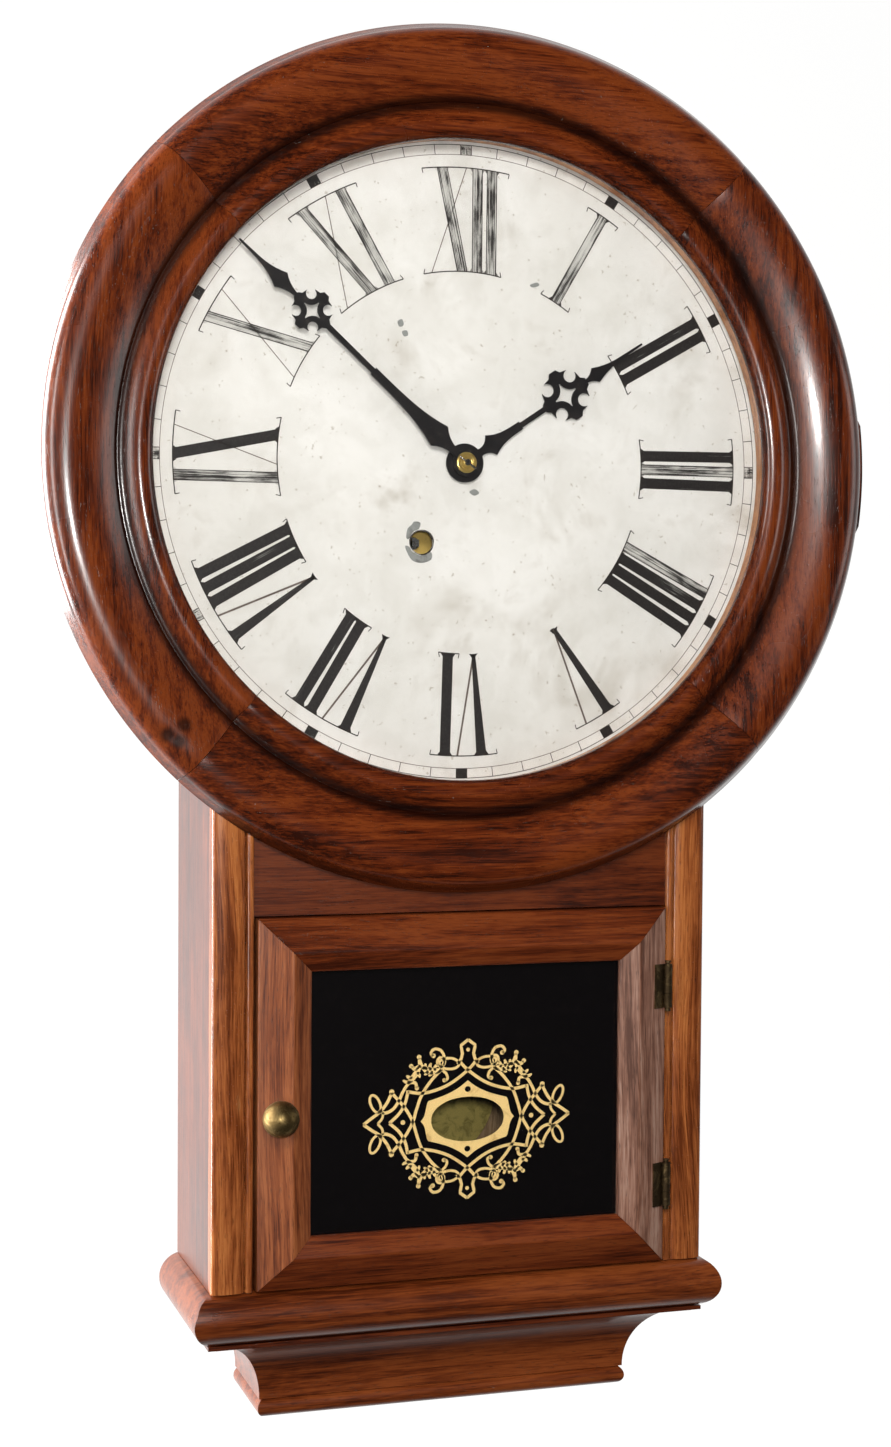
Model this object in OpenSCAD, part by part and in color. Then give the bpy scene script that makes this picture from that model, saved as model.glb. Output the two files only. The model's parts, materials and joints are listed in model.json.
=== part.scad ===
// Drop-trunk wall clock: a round wooden bezel door over a paper dial, a short trunk with a
// glazed pendulum door, a moulded base and an eight-day spring movement with a pendulum.
// Frame: the hanging hole is the origin, the wall is the plane y = 0, the clock faces -Y,
// +X is the viewer's right and +Z is up.

/* [Round bezel door] */
// Outer radius of the wooden bezel
bezel_r = 205; // [203:0.5:208]
// Radius of the bezel's inner lip, which frames the dial
lip_r = 151.35; // [150:0.25:152]
// Distance from the wall to the back of the bezel
bezel_back = 86.9; // [86.8:0.1:88]
// Height of the main round moulding above the back of the bezel
roll_h = 12.3; // [9:0.1:14]
// Angle of the first glued joint, counted anticlockwise from 3 o'clock
joint_angle = 47.1; // [40:0.1:50]
// Width of the opened glue line between two bezel segments
glue_line = 0.25; // [0.1:0.05:0.6]

/* [Trunk] */
// Half of the trunk's width
trunk_w = 122.9; // [121:0.1:126]
// Distance from the wall to the front edge of the side boards
side_d = 78; // [76:0.5:78.5]
// Thickness of the side, top and bottom boards
board_t = 10; // [8:0.5:12]
// Drop from the dial centre to the top of the base
trunk_drop = 390.2; // [386:0.2:395]
// Rise from the dial centre to the top of the case box
box_top = 150; // [140:1:154]
// Drop from the hanging hole to the dial centre
dial_drop = 172; // [168:0.5:176]

/* [Trunk door] */
// Half of the door's width
door_w = 101.9; // [100:0.1:102.2]
// Drop from the dial centre to the top of the door
door_top = 214.8; // [214.5:0.1:220]
// Width of the door's four frame members
member_w = 25.1; // [24:0.1:27]
// Radius of the knob's ball
knob_r = 8.5; // [7:0.1:9]

/* [Base] */
// Half of the width of the half-round moulding
torus_w = 132.05; // [130:0.1:135]
// Height of the half-round moulding
torus_h = 24.5; // [22:0.5:26]
// Depth to which the cove below it is hollowed
cove_r = 26.6; // [24:0.1:27]
// Height of the cove
cove_h = 33.2; // [26:0.2:36]
// Height of the bead at the foot
foot_h = 9.3; // [8:0.1:13]

/* [Dial and hands] */
// Distance from the wall to the face of the dial
dial_d = 76.15; // [76:0.05:76.3]
// Length of the minute hand from the centre
minute_len = 148.5; // [140:0.5:149]
// Length of the hour hand from the centre
hour_len = 109; // [100:0.5:112]
// Time shown, in minutes after noon
time_min = 112; // [0:1:719]

/* [Pendulum] */
// Drop from the pendulum's pivot to the middle of the bob
pendulum_len = 364; // [355:1:368]
// Radius of the bob
bob_r = 38; // [34:0.5:39]
// Thickness of the bob
bob_t = 11; // [9:0.5:11.5]

/* [Hidden] */
$fn = 96;
eps = 0.01;

// ---- derived sizes: case ------------------------------------------------------------
inner_w = trunk_w - board_t;
back_t = 10;
ring_r = bezel_r - 7.7;
ring_back = 64;
ring_face = bezel_back - 0.5;
ring_seat = dial_d - 1.15;
ring_bore = 130;
seat_r = 160.2;
column_in = door_w + 1.2;
column_crest = bezel_back - 0.4;
column_edge = column_crest - 2.1;
frieze_face = column_crest - 2.8;
torus_front = 92.65;
torus_r = torus_h / 2;
torus_run = 22;
fascia_h = 1.9;
fascia_w = torus_w - 8;
fascia_d = torus_front - 7.6;
cove_land = 0.8;
cove_w = fascia_w - 4;
cove_d = fascia_d - 2.4;
cove_run = 42;
base_z = -trunk_drop;
fascia_z = base_z - torus_h;
cove_z = fascia_z - fascia_h;
foot_z = cove_z - cove_land - cove_h;
foot_w = cove_w - cove_r + 0.9;
foot_d = cove_d - cove_r + 1.1;
hang_z = dial_drop;
hang_r = 4;

// ---- derived sizes: bezel door ------------------------------------------------------
arris_r = bezel_r - 2.7;
arris_d = bezel_back + 5.2;
crest_r = bezel_r - 15;
crest_d = bezel_back + roll_h;
quirk_r = bezel_r - 37.4;
bead_r = lip_r + 6.2;
bead_d = bezel_back + 5.9;
lip_d = bezel_back + 0.8;
glass_d = bezel_back - 0.7;
glass_t = 2;
tongue_r = seat_r - 1;
rebate_r = tongue_r - 2.4;
tongue_d = 79;
bezel_pin = [bezel_r - 4.3, -(bezel_back - 0.25)];
bezel_hinge_z = [-23, 3];
bezel_hinge_len = 20;
pin_r = 1;
run_gap = 0.05;
hook_pivot = [-72, 2.3];
hook_x = -199.4;

// ---- derived sizes: trunk door ------------------------------------------------------
door_z1 = -door_top;
door_z0 = base_z + 0.6;
door_back = 74;
door_edge = 88.2;
door_arris_t = 15.8;
door_arris = 95.4;
door_lip = 91;
door_glass_d = 88.5;
door_rebate = 4.7;
door_open_w = door_w - member_w;
door_open_z1 = door_z1 - member_w;
door_open_z0 = door_z0 + member_w;
door_slope = atan((door_arris - door_edge) / door_arris_t);
door_pin = [door_w + 0.9, -(door_edge + 1.4)];
door_pin_r = 2.1;
door_hinge_z = [-264, -362];
door_hinge_len = 21.5;
leaf_t = 0.9;
stop_in = 98;
stop_face = 73.5;
stop_back = 66;
knob_pos = [-93.9, -306];
knob_d = 102.5;
knob_rose = 94.7;
spindle_r = 2;

// ---- derived sizes: movement --------------------------------------------------------
plate_t = 2;
front_y = -62;
rear_y = -26;
plate_x = [-54, 38];
plate_z = [-70, 68];
pillar_at = [[-49, -65], [33, -65], [-49, 63], [33, 63]];
pivot_r = 0.8;
arbor_r = 1.5;
thin_r = 1.2;
// Positions of the arbors, as distances right of and above the dial centre
winding_at = [-20.7, -38.2];
escape_at = [0, 28];
verge_at = [0, 50];
great_n = 78;
great_m = 0.75;
second_n = 60;
second_m = 0.6;
big_pinion_n = 12;
centre_n = 72;
third_n = 66;
train_m = 0.5;
small_pinion_n = 8;
escape_n = 40;
escape_r = 16;
motion_n = 36;
motion_m = 0.75;
hour_n = 48;
hour_m = 0.6;
// Where two circles about p and q cross, on the side that side = 1 or -1 picks
function crossing(p, rp, q, rq, side) =
    let (d = norm(q - p), u = (q - p) / d, a = (rp * rp - rq * rq + d * d) / (2 * d))
    p + a * u + side * sqrt(rp * rp - a * a) * [-u[1], u[0]];
function pitch_r(n, m) = n * m / 2;
second_at = crossing(winding_at, pitch_r(great_n + big_pinion_n, great_m),
                     [0, 0], pitch_r(second_n + big_pinion_n, second_m), 1);
third_at = crossing([0, 0], pitch_r(centre_n + small_pinion_n, train_m),
                    escape_at, pitch_r(third_n + small_pinion_n, train_m), -1);
motion_r = pitch_r(motion_n + big_pinion_n, motion_m);
motion_at = [motion_r * sin(60), motion_r * cos(60)];
pendulum_y = -17.5;
rod_r = 1.6;
minute_angle = time_min % 60 * 6;
hour_angle = time_min / 2;

// ---- placing helpers ----------------------------------------------------------------
// Everything is drawn about the dial centre and then lowered below the hanging hole
module on_dial() translate([0, 0, -dial_drop]) children();
module slab(x, y, z)
    translate([x[0], y[0], z[0]])
        cube([x[1] - x[0], y[1] - y[0], z[1] - z[0]]);
// A solid of revolution about the dial's axis: profile radius, distance from the wall
module turned(at = [0, 0]) translate([at[0], 0, at[1]]) rotate([90, 0, 0]) children();
// A rod along Y from y0 to y1, with at = [x, z]
module rod_y(r, y0, y1, at = [0, 0])
    translate([at[0], y1, at[1]]) rotate([90, 0, 0]) cylinder(r = r, h = y1 - y0);
module rod_z(r, z0, z1, at) translate([at[0], at[1], z0]) cylinder(r = r, h = z1 - z0);
module rod_x(r, x0, x1, at) translate([x0, at[0], at[1]]) rotate([0, 90, 0]) cylinder(r = r, h = x1 - x0);
// Extrusions of a [y, z] outline along X, and of an [x, z] outline back from y1
module along_x(x0, x1) translate([x0, 0, 0]) rotate([90, 0, 90]) linear_extrude(x1 - x0) children();
module along_y(y0, y1) translate([0, y1, 0]) rotate([90, 0, 0]) linear_extrude(y1 - y0) children();
module along_z(z0, z1) translate([0, 0, z0]) linear_extrude(z1 - z0) children();
// The round seat that the dial ring fills
module ring_seat_cut() rod_y(ring_r, -bezel_back - 5, -ring_back);

// ---- case ---------------------------------------------------------------------------
module back_board() color("sienna") on_dial() difference() {
    slab([-inner_w, inner_w], [-back_t, 0], [base_z, box_top]);
    slab([-14, 14], [-2, eps], [hang_z - 54, box_top + eps]);
    for (z = [-46, -30]) rod_y(1.5, -9, 0, [0, hang_z + z]);
}
module side_board(side) color("sienna") on_dial() difference() {
    slab(side > 0 ? [inner_w, trunk_w] : [-trunk_w, -inner_w], [-side_d, 0], [base_z, box_top]);
    ring_seat_cut();
}
module left_side_board() side_board(-1);
module right_side_board() side_board(1);
module top_board() color("sienna") on_dial()
    slab([-inner_w, inner_w], [-ring_back, -back_t], [box_top - board_t, box_top]);
module bottom_board() color("sienna") on_dial()
    slab([-inner_w, inner_w], [-stop_face, -back_t], [base_z, base_z + board_t]);

// Column section from the inner edge outwards: a narrow bead, a quirk and a broad round
module column_section() {
    bead_w = 3.6;
    quirk_w = 0.6;
    round_in = column_in + bead_w + quirk_w;
    round_w = trunk_w - round_in;
    polygon(concat(
        [[column_in, -side_d]],
        [for (a = [0:20:180]) [column_in + bead_w * (1 - cos(a)) / 2,
                               -(column_edge + 0.1) - 1.7 * sin(a)]],
        [[column_in + bead_w + quirk_w / 2, -(column_edge - 0.8)]],
        [for (a = [0:15:180]) [round_in + round_w * (1 - cos(a)) / 2,
                               -column_edge - 2.1 * sin(a)]],
        [[trunk_w, -side_d]]));
}
module column(side) color("chocolate") on_dial() difference() {
    mirror([side > 0 ? 0 : 1, 0, 0]) along_z(base_z, -140) column_section();
    ring_seat_cut();
}
module left_column() column(-1);
module right_column() difference() {
    column(1);
    on_dial() for (z = door_hinge_z)
        slab([column_in - eps, column_in + 0.6], [-88, -80.2], [z - 0.2, z + door_hinge_len + 0.2]);
}
module frieze_panel() color("sienna") on_dial() difference() {
    slab([-column_in, column_in], [-frieze_face, -ring_back], [door_z1 + 0.7, -140]);
    ring_seat_cut();
}
module door_stops() color("saddlebrown") on_dial() for (side = [-1, 1])
    slab(side > 0 ? [stop_in, inner_w] : [-inner_w, -stop_in], [-stop_face, -stop_back],
         [base_z + board_t, door_z1 + 0.7]);

// ---- base ---------------------------------------------------------------------------
// A mitred three-sided moulding: front run and two returns to the wall
module mitred(w, d, run) {
    intersection() {
        children(0);
        along_z(foot_z - 20, base_z + 1)
            polygon([[-w, -d], [w, -d], [w - run, -d + run], [-w + run, -d + run]]);
    }
    for (side = [0, 1]) mirror([side, 0, 0]) intersection() {
        children(1);
        along_z(foot_z - 20, base_z + 1)
            polygon([[w, -d], [w, 0], [w - run, 0], [w - run, -d + run]]);
    }
}
module torus_section(reach, run) {
    translate([reach - torus_r, base_z - torus_r]) circle(torus_r);
    translate([reach - run, base_z - torus_h]) square([run - torus_r, torus_h]);
}
module base_torus() color("chocolate") on_dial() mitred(torus_w, torus_front, torus_run) {
    along_x(-torus_w, torus_w) mirror([1, 0]) torus_section(torus_front, torus_run);
    along_y(-torus_front, 0) torus_section(torus_w, torus_run);
}
module base_fascia() color("sienna") on_dial()
    slab([-fascia_w, fascia_w], [-fascia_d, 0], [cove_z, fascia_z]);
module cove_section(reach) polygon(concat(
    [[reach - cove_run, foot_z], [reach - cove_run, foot_z + cove_h + cove_land],
     [reach, foot_z + cove_h + cove_land]],
    [for (a = [90:-6:0]) [reach - cove_r * cos(a), foot_z + cove_h * sin(a)]]));
module base_cove() color("sienna") on_dial() mitred(cove_w, cove_d, cove_run) {
    along_x(-cove_w, cove_w) mirror([1, 0]) cove_section(cove_d);
    along_y(-cove_d, 0) cove_section(cove_w);
}
module base_foot() color("sienna") on_dial() {
    r = foot_h / 2;
    intersection() {
        along_x(-foot_w, foot_w) {
            translate([-foot_d + r, foot_z - r]) circle(r);
            translate([-foot_d + r, foot_z - foot_h]) square([foot_d - r, foot_h]);
        }
        along_y(-foot_d, 0) {
            for (side = [-1, 1]) translate([side * (foot_w - r), foot_z - r]) circle(r);
            translate([-foot_w + r, foot_z - foot_h]) square([2 * (foot_w - r), foot_h]);
        }
    }
}

// ---- dial ---------------------------------------------------------------------------
module dial_ring() color("peru") on_dial() difference() {
    turned() rotate_extrude() polygon([
        [ring_bore, ring_back], [ring_r, ring_back], [ring_r, ring_face],
        [seat_r, ring_face], [seat_r, ring_seat], [ring_bore, ring_seat]]);
    for (z = bezel_hinge_z)
        slab([185.8, ring_r + 1], [-ring_face - eps, -ring_face + 0.9],
             [z - 0.2, z + bezel_hinge_len + 0.2]);
    for (z = bezel_hinge_z)
        rod_z(2.6, z - 0.2, z + bezel_hinge_len + 0.2, bezel_pin);
    for (x = [-1, 1], z = [-1, 1]) rod_y(0.9, -ring_seat - 1, -ring_seat + 6, 109.4 * [x, z]);
    rod_x(1, -ring_r - 1, -190, hook_pivot);
}
module dial_pan() color("gray") on_dial() difference() {
    rod_y(158, -dial_d + 0.25, -ring_seat);
    rod_y(5, -90, -60);
    rod_y(5.6, -90, -60, winding_at);
    for (x = [-1, 1], z = [-1, 1]) rod_y(1.1, -90, -60, 109.4 * [x, z]);
}
module dial_paper() color("whitesmoke") on_dial() difference() {
    rod_y(157.6, -dial_d, -dial_d + 0.25);
    rod_y(5, -90, -60);
    rod_y(5.6, -90, -60, winding_at);
    for (x = [-1, 1], z = [-1, 1]) rod_y(1.1, -90, -60, 109.4 * [x, z]);
}
module hanger_plate() color("goldenrod") on_dial() difference() {
    union() {
        slab([-14, 14], [-2, 0], [hang_z - 54, hang_z]);
        rod_y(14, -2, 0, [0, hang_z]);
    }
    rod_y(hang_r, -3, 1, [0, hang_z]);
    for (z = [-46, -30]) rod_y(1.6, -3, 1, [0, hang_z + z]);
    for (z = [-46, -30]) rod_y(3.1, -1, 1, [0, hang_z + z]);
}
module case_screws() color("darkgoldenrod") on_dial() {
    // Two countersunk screws through the hanger, four round heads on the dial, one hook pivot
    for (z = [-46, -30]) {
        rod_y(1.45, -8.5, -0.5, [0, hang_z + z]);
        rod_y(3, -1, -0.1, [0, hang_z + z]);
    }
    for (x = [-1, 1], z = [-1, 1]) {
        rod_y(0.85, -dial_d - 0.5, -ring_seat + 5.5, 109.4 * [x, z]);
        rod_y(1.9, -dial_d - 0.9, -dial_d, 109.4 * [x, z]);
    }
    rod_x(0.95, hook_x - 0.3, -191, hook_pivot);
    rod_x(2, hook_x - 1.2, hook_x - 0.2, hook_pivot);
    rod_x(1.8, hook_x + 1.1, -ring_r, hook_pivot);
}

// ---- bezel door ---------------------------------------------------------------------
// Bezel section as [radius, distance from the wall]
module bezel_section() {
    roll_power = 1.6;
    polygon(concat(
        [[bezel_r, bezel_back], [arris_r, arris_d]],
        [for (a = [20:14:90]) [crest_r + (arris_r - crest_r) * cos(a),
                               arris_d - 1.2 + (crest_d - arris_d + 1.2) * sin(a)]],
        [for (t = [0.18:0.164:1]) [crest_r - (crest_r - quirk_r - 1) * t,
                                   crest_d - (crest_d - bezel_back - 3.4) * pow(t, roll_power)]],
        [[quirk_r + 0.6, bezel_back + 2]],
        [for (t = [0:0.2:1]) [quirk_r - (quirk_r - bead_r) * t,
                              bezel_back + 2.3 + (bead_d - bezel_back - 2.3) * (1 - cos(180 * t)) / 2]],
        [for (a = [108:18:180]) [bead_r + (bead_r - lip_r) * cos(a),
                                 lip_d + (bead_d - lip_d) * sin(a)]],
        [[lip_r, glass_d], [rebate_r, glass_d], [rebate_r, tongue_d],
         [tongue_r, tongue_d], [tongue_r, bezel_back]]));
}
module bezel_segment(k) color("saddlebrown") on_dial() {
    gap = glue_line / crest_r * 180 / PI;
    turned() rotate([0, 0, joint_angle + 90 * k + gap / 2])
        rotate_extrude(angle = 90 - gap) bezel_section();
}
module bezel_top() bezel_segment(0);
module bezel_left() bezel_segment(1);
module bezel_bottom() bezel_segment(2);
module bezel_right() difference() {
    bezel_segment(3);
    on_dial() for (z = bezel_hinge_z) {
        slab([185.8, 199], [-bezel_back - 0.9, -bezel_back + 1], [z - 0.2, z + bezel_hinge_len + 0.2]);
        slab([bezel_pin[0] - 2.6, bezel_r + 1], [-bezel_back - 2.5, -bezel_back + 1],
             [z - 0.2, z + bezel_hinge_len + 0.2]);
    }
}
module bezel_glass() color("lightblue", 0.3) on_dial()
    rod_y(rebate_r - 0.2, -glass_d, -glass_d + glass_t);
module bezel_glazing_ring() color("peru") on_dial() turned() rotate_extrude() polygon([
    [lip_r + 0.9, tongue_d - 1], [rebate_r, tongue_d - 1],
    [rebate_r, glass_d - glass_t], [lip_r + 0.9, glass_d - glass_t]]);

// A butt hinge on a vertical pin: the fixed half has the end knuckles and the pin
module knuckles(at, r, z, len, first, bore) {
    part = len / 3;
    for (k = first ? [1] : [0, 2]) difference() {
        rod_z(r, z + part * k + 0.1, z + part * (k + 1) - 0.1, at);
        rod_z(bore, z - 1, z + len + 1, at);
    }
}
module leaf_cut(at, r, z, len, middle) {
    part = len / 3;
    for (k = middle ? [1] : [0, 2])
        rod_z(r + 0.3, z + part * k - 0.1, z + part * (k + 1) + 0.1, at);
}
module bezel_hinges_fixed() color("goldenrod") on_dial() for (z = bezel_hinge_z) {
    knuckles(bezel_pin, 2.2, z, bezel_hinge_len, false, pin_r);
    difference() {
        slab([186, bezel_pin[0]], [-ring_face, -ring_face + 0.8], [z, z + bezel_hinge_len]);
        leaf_cut(bezel_pin, 2.2, z, bezel_hinge_len, true);
        rod_z(2.1, z - 1, z + bezel_hinge_len + 1, bezel_pin);
    }
    rod_z(pin_r, z, z + bezel_hinge_len, bezel_pin);
}
module bezel_hinges_moving() color("goldenrod") on_dial() for (z = bezel_hinge_z) {
    knuckles(bezel_pin, 2.2, z, bezel_hinge_len, true, pin_r + run_gap);
    difference() {
        slab([186, bezel_pin[0]], [-bezel_back - 0.8, -bezel_back], [z, z + bezel_hinge_len]);
        leaf_cut(bezel_pin, 2.2, z, bezel_hinge_len, false);
        rod_z(2.1, z - 1, z + bezel_hinge_len + 1, bezel_pin);
    }
}
module bezel_catch_pin() color("goldenrod") on_dial() {
    rod_x(1, -202.4, -197.9, [hook_pivot[0] - 9, 0]);
    slab([-203.6, -202.2], [-bezel_back, hook_pivot[0] - 7.8], [-1.6, 1.6]);
}
// The hook is drawn lifted: its arm points up and swings forward to engage the pin
module bezel_hook() color("goldenrod") on_dial()
    translate([hook_x, hook_pivot[0], hook_pivot[1]]) rotate([90, 0, 90])
        linear_extrude(1) difference() {
            union() {
                circle(2.2);
                polygon([[-1.1, 0], [1.1, 0], [1.1, 12.6], [-3.5, 12.6], [-3.5, 10.3], [-1.1, 10.3]]);
            }
            circle(1);
        }

// ---- trunk door ---------------------------------------------------------------------
// Frame section as [distance in from the outer edge, distance from the wall]
module member_section() polygon([
    [0, door_back], [0, door_edge], [door_arris_t, door_arris], [member_w, door_lip],
    [member_w, door_glass_d], [member_w - door_rebate, door_glass_d],
    [member_w - door_rebate, door_back]]);
// A stile standing along Z, on the -X side of the door, with mitred ends
module stile() intersection() {
    translate([-door_w, 0, door_z0]) linear_extrude(door_z1 - door_z0) mirror([0, 1]) member_section();
    along_y(-110, -60) polygon([
        [-door_w, door_z0], [-door_w, door_z1],
        [-door_w + member_w, door_z1 - member_w], [-door_w + member_w, door_z0 + member_w]]);
}
// A rail along X at the top of the door, with mitred ends
module rail() intersection() {
    along_x(-door_w, door_w) translate([0, door_z1]) rotate(-90) mirror([0, 1]) member_section();
    along_y(-110, -60) polygon([
        [-door_w, door_z1], [door_w, door_z1],
        [door_w - member_w, door_z1 - member_w], [-door_w + member_w, door_z1 - member_w]]);
}
module door_top_rail() color("sienna") on_dial() rail();
module door_bottom_rail() color("sienna") on_dial()
    translate([0, 0, door_z0 + door_z1]) mirror([0, 0, 1]) rail();
module door_left_stile() color("sienna") difference() {
    on_dial() stile();
    on_dial() rod_y(spindle_r + run_gap, -110, -60, knob_pos);
}
module door_right_stile() color("sienna") difference() {
    on_dial() mirror([1, 0, 0]) stile();
    on_dial() for (z = door_hinge_z)
        rod_z(door_pin_r + 0.15, z - 0.1, z + door_hinge_len + 0.1, door_pin);
}
module door_glass() color("black") on_dial()
    slab((door_open_w + door_rebate - 0.3) * [-1, 1], [-door_glass_d, -door_glass_d + 2],
         [door_open_z0 - door_rebate + 0.3, door_open_z1 + door_rebate - 0.3]);
module door_glazing_beads() color("saddlebrown") on_dial() {
    w = door_open_w + door_rebate;
    z0 = door_open_z0 - door_rebate;
    z1 = door_open_z1 + door_rebate;
    y = [-door_glass_d + 2, -door_glass_d + 6];
    bead = 4;
    slab([-w, w], y, [z0, z0 + bead]);
    slab([-w, w], y, [z1 - bead, z1]);
    for (side = [-1, 1])
        slab(side > 0 ? [w - bead, w] : [-w, -w + bead], y, [z0 + bead, z1 - bead]);
}
module door_hinges_fixed() color("goldenrod") on_dial() for (z = door_hinge_z) {
    knuckles(door_pin, door_pin_r, z, door_hinge_len, false, pin_r);
    difference() {
        slab([column_in - 0.3, column_in + 0.5], [door_pin[1], -80.4], [z, z + door_hinge_len]);
        rod_z(door_pin_r - 0.1, z - 1, z + door_hinge_len + 1, door_pin);
        leaf_cut(door_pin, door_pin_r, z, door_hinge_len, true);
    }
    rod_z(pin_r, z - 0.8, z + door_hinge_len + 0.8, door_pin);
    for (end = [z - 1.6, z + door_hinge_len + 0.8]) rod_z(1.5, end, end + 0.8, door_pin);
}
module door_hinges_moving() color("goldenrod") on_dial() for (z = door_hinge_z) {
    knuckles(door_pin, door_pin_r, z, door_hinge_len, true, pin_r + run_gap);
    difference() {
        translate([door_w, -door_edge, z]) rotate(180 + door_slope)
            translate([-0.4, 0, 0]) cube([8, leaf_t, door_hinge_len]);
        rod_z(door_pin_r - 0.1, z - 1, z + door_hinge_len + 1, door_pin);
        leaf_cut(door_pin, door_pin_r, z, door_hinge_len, false);
    }
}
module door_knob() color("darkgoldenrod") on_dial() {
    turned(knob_pos) rotate_extrude() difference() {
        union() {
            translate([0, knob_d]) circle(knob_r);
            translate([0, knob_rose]) square([5.6, 1.2]);
        }
        translate([-2 * knob_r, 80]) square([2 * knob_r, 40]);
    }
    rod_y(spindle_r, -knob_rose - 0.5, -64.1, knob_pos);
}
module door_latch_blade() color("goldenrod") on_dial() difference() {
    slab([knob_pos[0] - 3.5, knob_pos[0] + 3.5], [-65.6, -64.1], [knob_pos[1] - 6, knob_pos[1] + 14]);
    rod_y(spindle_r, -66, -64, knob_pos);
}

// ---- movement: wheels ---------------------------------------------------------------
// Radius of a lantern pinion's trundles
function trundle_r(m) = 0.75 * m;
// One tooth of a wheel that drives a lantern pinion, about the angle 0.
// A trundle's centre rolls out along an epicycloid; the flank runs beside that path.
function flank(n, m, pinion_n) =
    let (rw = pitch_r(n, m), rp = pitch_r(pinion_n, m), off = trundle_r(m) + 0.06, half = 180 / n)
    [for (s = [0.25:0.25:1.5])
        let (a = s * 2 * half,
             b = a * (1 + rw / rp),
             p = (rw + rp) * [cos(a), sin(a)] - rp * [cos(b), sin(b)],
             i = rw * [cos(a), sin(a)],
             f = p + off * (i - p) / norm(i - p),
             q = atan2(f[1], f[0]))
        if (q < 1.8 * half && norm(f) < rw + 1.3 * m) [norm(f), q - half]];
function tooth(n, m, pinion_n) =
    let (side = flank(n, m, pinion_n), root = pitch_r(n, m) - 1.2 * m)
    concat([[root, side[0][1]]], side,
           [for (k = [len(side) - 1:-1:0]) [side[k][0], -side[k][1]]], [[root, -side[0][1]]]);
module toothed_disc(n, m, pinion_n) {
    outline = tooth(n, m, pinion_n);
    polygon([for (k = [0:n - 1], p = outline)
        p[0] * [cos(p[1] + 360 * k / n), sin(p[1] + 360 * k / n)]]);
}
// Four crossings between the rim and the hub
module crossings(rim_r, hub_r, spoke) difference() {
    circle(rim_r);
    circle(hub_r);
    square([2 * rim_r + 1, spoke], center = true);
    square([spoke, 2 * rim_r + 1], center = true);
}
// A wheel in the plane from y0 to y0 + t, turned by phase degrees
module wheel(n, m, pinion_n, y0, t, phase, rim = 2.6, hub = 4, spoke = 2.4)
    translate([0, y0 + t, 0]) rotate([90, 0, 0]) rotate(phase) linear_extrude(t) difference() {
        toothed_disc(n, m, pinion_n);
        crossings(pitch_r(n, m) - 1.2 * m - rim, hub, spoke);
    }
// A lantern pinion: two shrouds with a ring of round trundles between them
module lantern(n, m, y0, y1, phase) {
    r = pitch_r(n, m);
    for (y = [y0, y1 - 1]) rod_y(r + trundle_r(m) + 0.3, y, y + 1);
    for (k = [0:n - 1])
        rod_y(trundle_r(m), y0 + 0.5, y1 - 0.5,
              r * [cos(phase + 360 * k / n), sin(phase + 360 * k / n)]);
}
module arbor() {
    rod_y(thin_r, front_y + plate_t + 0.3, rear_y - 0.3);
    rod_y(pivot_r, front_y + 0.2, rear_y + plate_t - 0.2);
}
// Direction of q seen from p, in degrees, and the phase that puts a tooth or a gap there
function toward(p, q) = atan2(q[1] - p[1], q[0] - p[0]);

great_phase = toward(winding_at, second_at);
second_pinion_phase = toward(second_at, winding_at) + 180 / big_pinion_n;
second_phase = toward(second_at, [0, 0]);
centre_pinion_phase = toward([0, 0], second_at) + 180 / big_pinion_n;
centre_phase = toward([0, 0], third_at);
third_pinion_phase = toward(third_at, [0, 0]) + 180 / small_pinion_n;
third_phase = toward(third_at, escape_at);
escape_pinion_phase = toward(escape_at, third_at) + 180 / small_pinion_n;
cannon_phase = toward([0, 0], motion_at) + 180 / big_pinion_n;
motion_phase = toward(motion_at, [0, 0]);
motion_pinion_phase = toward(motion_at, [0, 0]) + 180 / big_pinion_n;
hour_phase = toward([0, 0], motion_at);

module plate(y0, bores) color("goldenrod") on_dial() difference() {
    slab(plate_x, [y0, y0 + plate_t], plate_z);
    for (b = bores) rod_y(b[2], y0 - 1, y0 + plate_t + 1, [b[0], b[1]]);
    for (p = pillar_at) rod_y(2, y0 - 1, y0 + plate_t + 1, p);
}
function bore(at, r) = [at[0], at[1], r + run_gap];
module front_plate() plate(front_y, [
    bore([0, 0], arbor_r), bore(winding_at, 3), bore(second_at, pivot_r),
    bore(third_at, pivot_r), bore(escape_at, pivot_r), bore(verge_at, pivot_r),
    [motion_at[0], motion_at[1], 1]]);
module rear_plate() plate(rear_y, [
    bore([0, 0], pivot_r), bore(winding_at, 2), bore(second_at, pivot_r),
    bore(third_at, pivot_r), bore(escape_at, pivot_r), bore(verge_at, 1.2)]);
module movement_pillars() color("goldenrod") on_dial() {
    // Four turned pillars with nuts in front and long feet screwed to the back board
    for (p = pillar_at) {
        rod_y(3, front_y + plate_t, rear_y, p);
        rod_y(2, front_y - 2.6, front_y + plate_t, p);
        translate([p[0], front_y, p[1]]) rotate([90, 0, 0]) difference() {
            cylinder(r = 4, h = 2, $fn = 6);
            translate([0, 0, -1]) cylinder(r = 2, h = 4);
        }
        rod_y(2, rear_y, rear_y + plate_t, p);
        rod_y(4, rear_y + plate_t, -back_t, p);
    }
    // The stud that the minute wheel turns on
    rod_y(1, -70.6, front_y + plate_t, motion_at);
    rod_y(2, -70.6, -70, motion_at);
}
module great_wheel() color("goldenrod") on_dial() {
    translate([winding_at[0], 0, winding_at[1]]) {
        difference() {
            union() {
                wheel(great_n, great_m, big_pinion_n, -31.5, 2, great_phase, 3, 22, 5);
                rod_y(5, -31.5, -28.6);
                // The post that the click turns on
                rod_y(1, -35, -31, [17, 0]);
            }
            rod_y(2.8 + run_gap, -36, -28);
        }
    }
}
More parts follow.
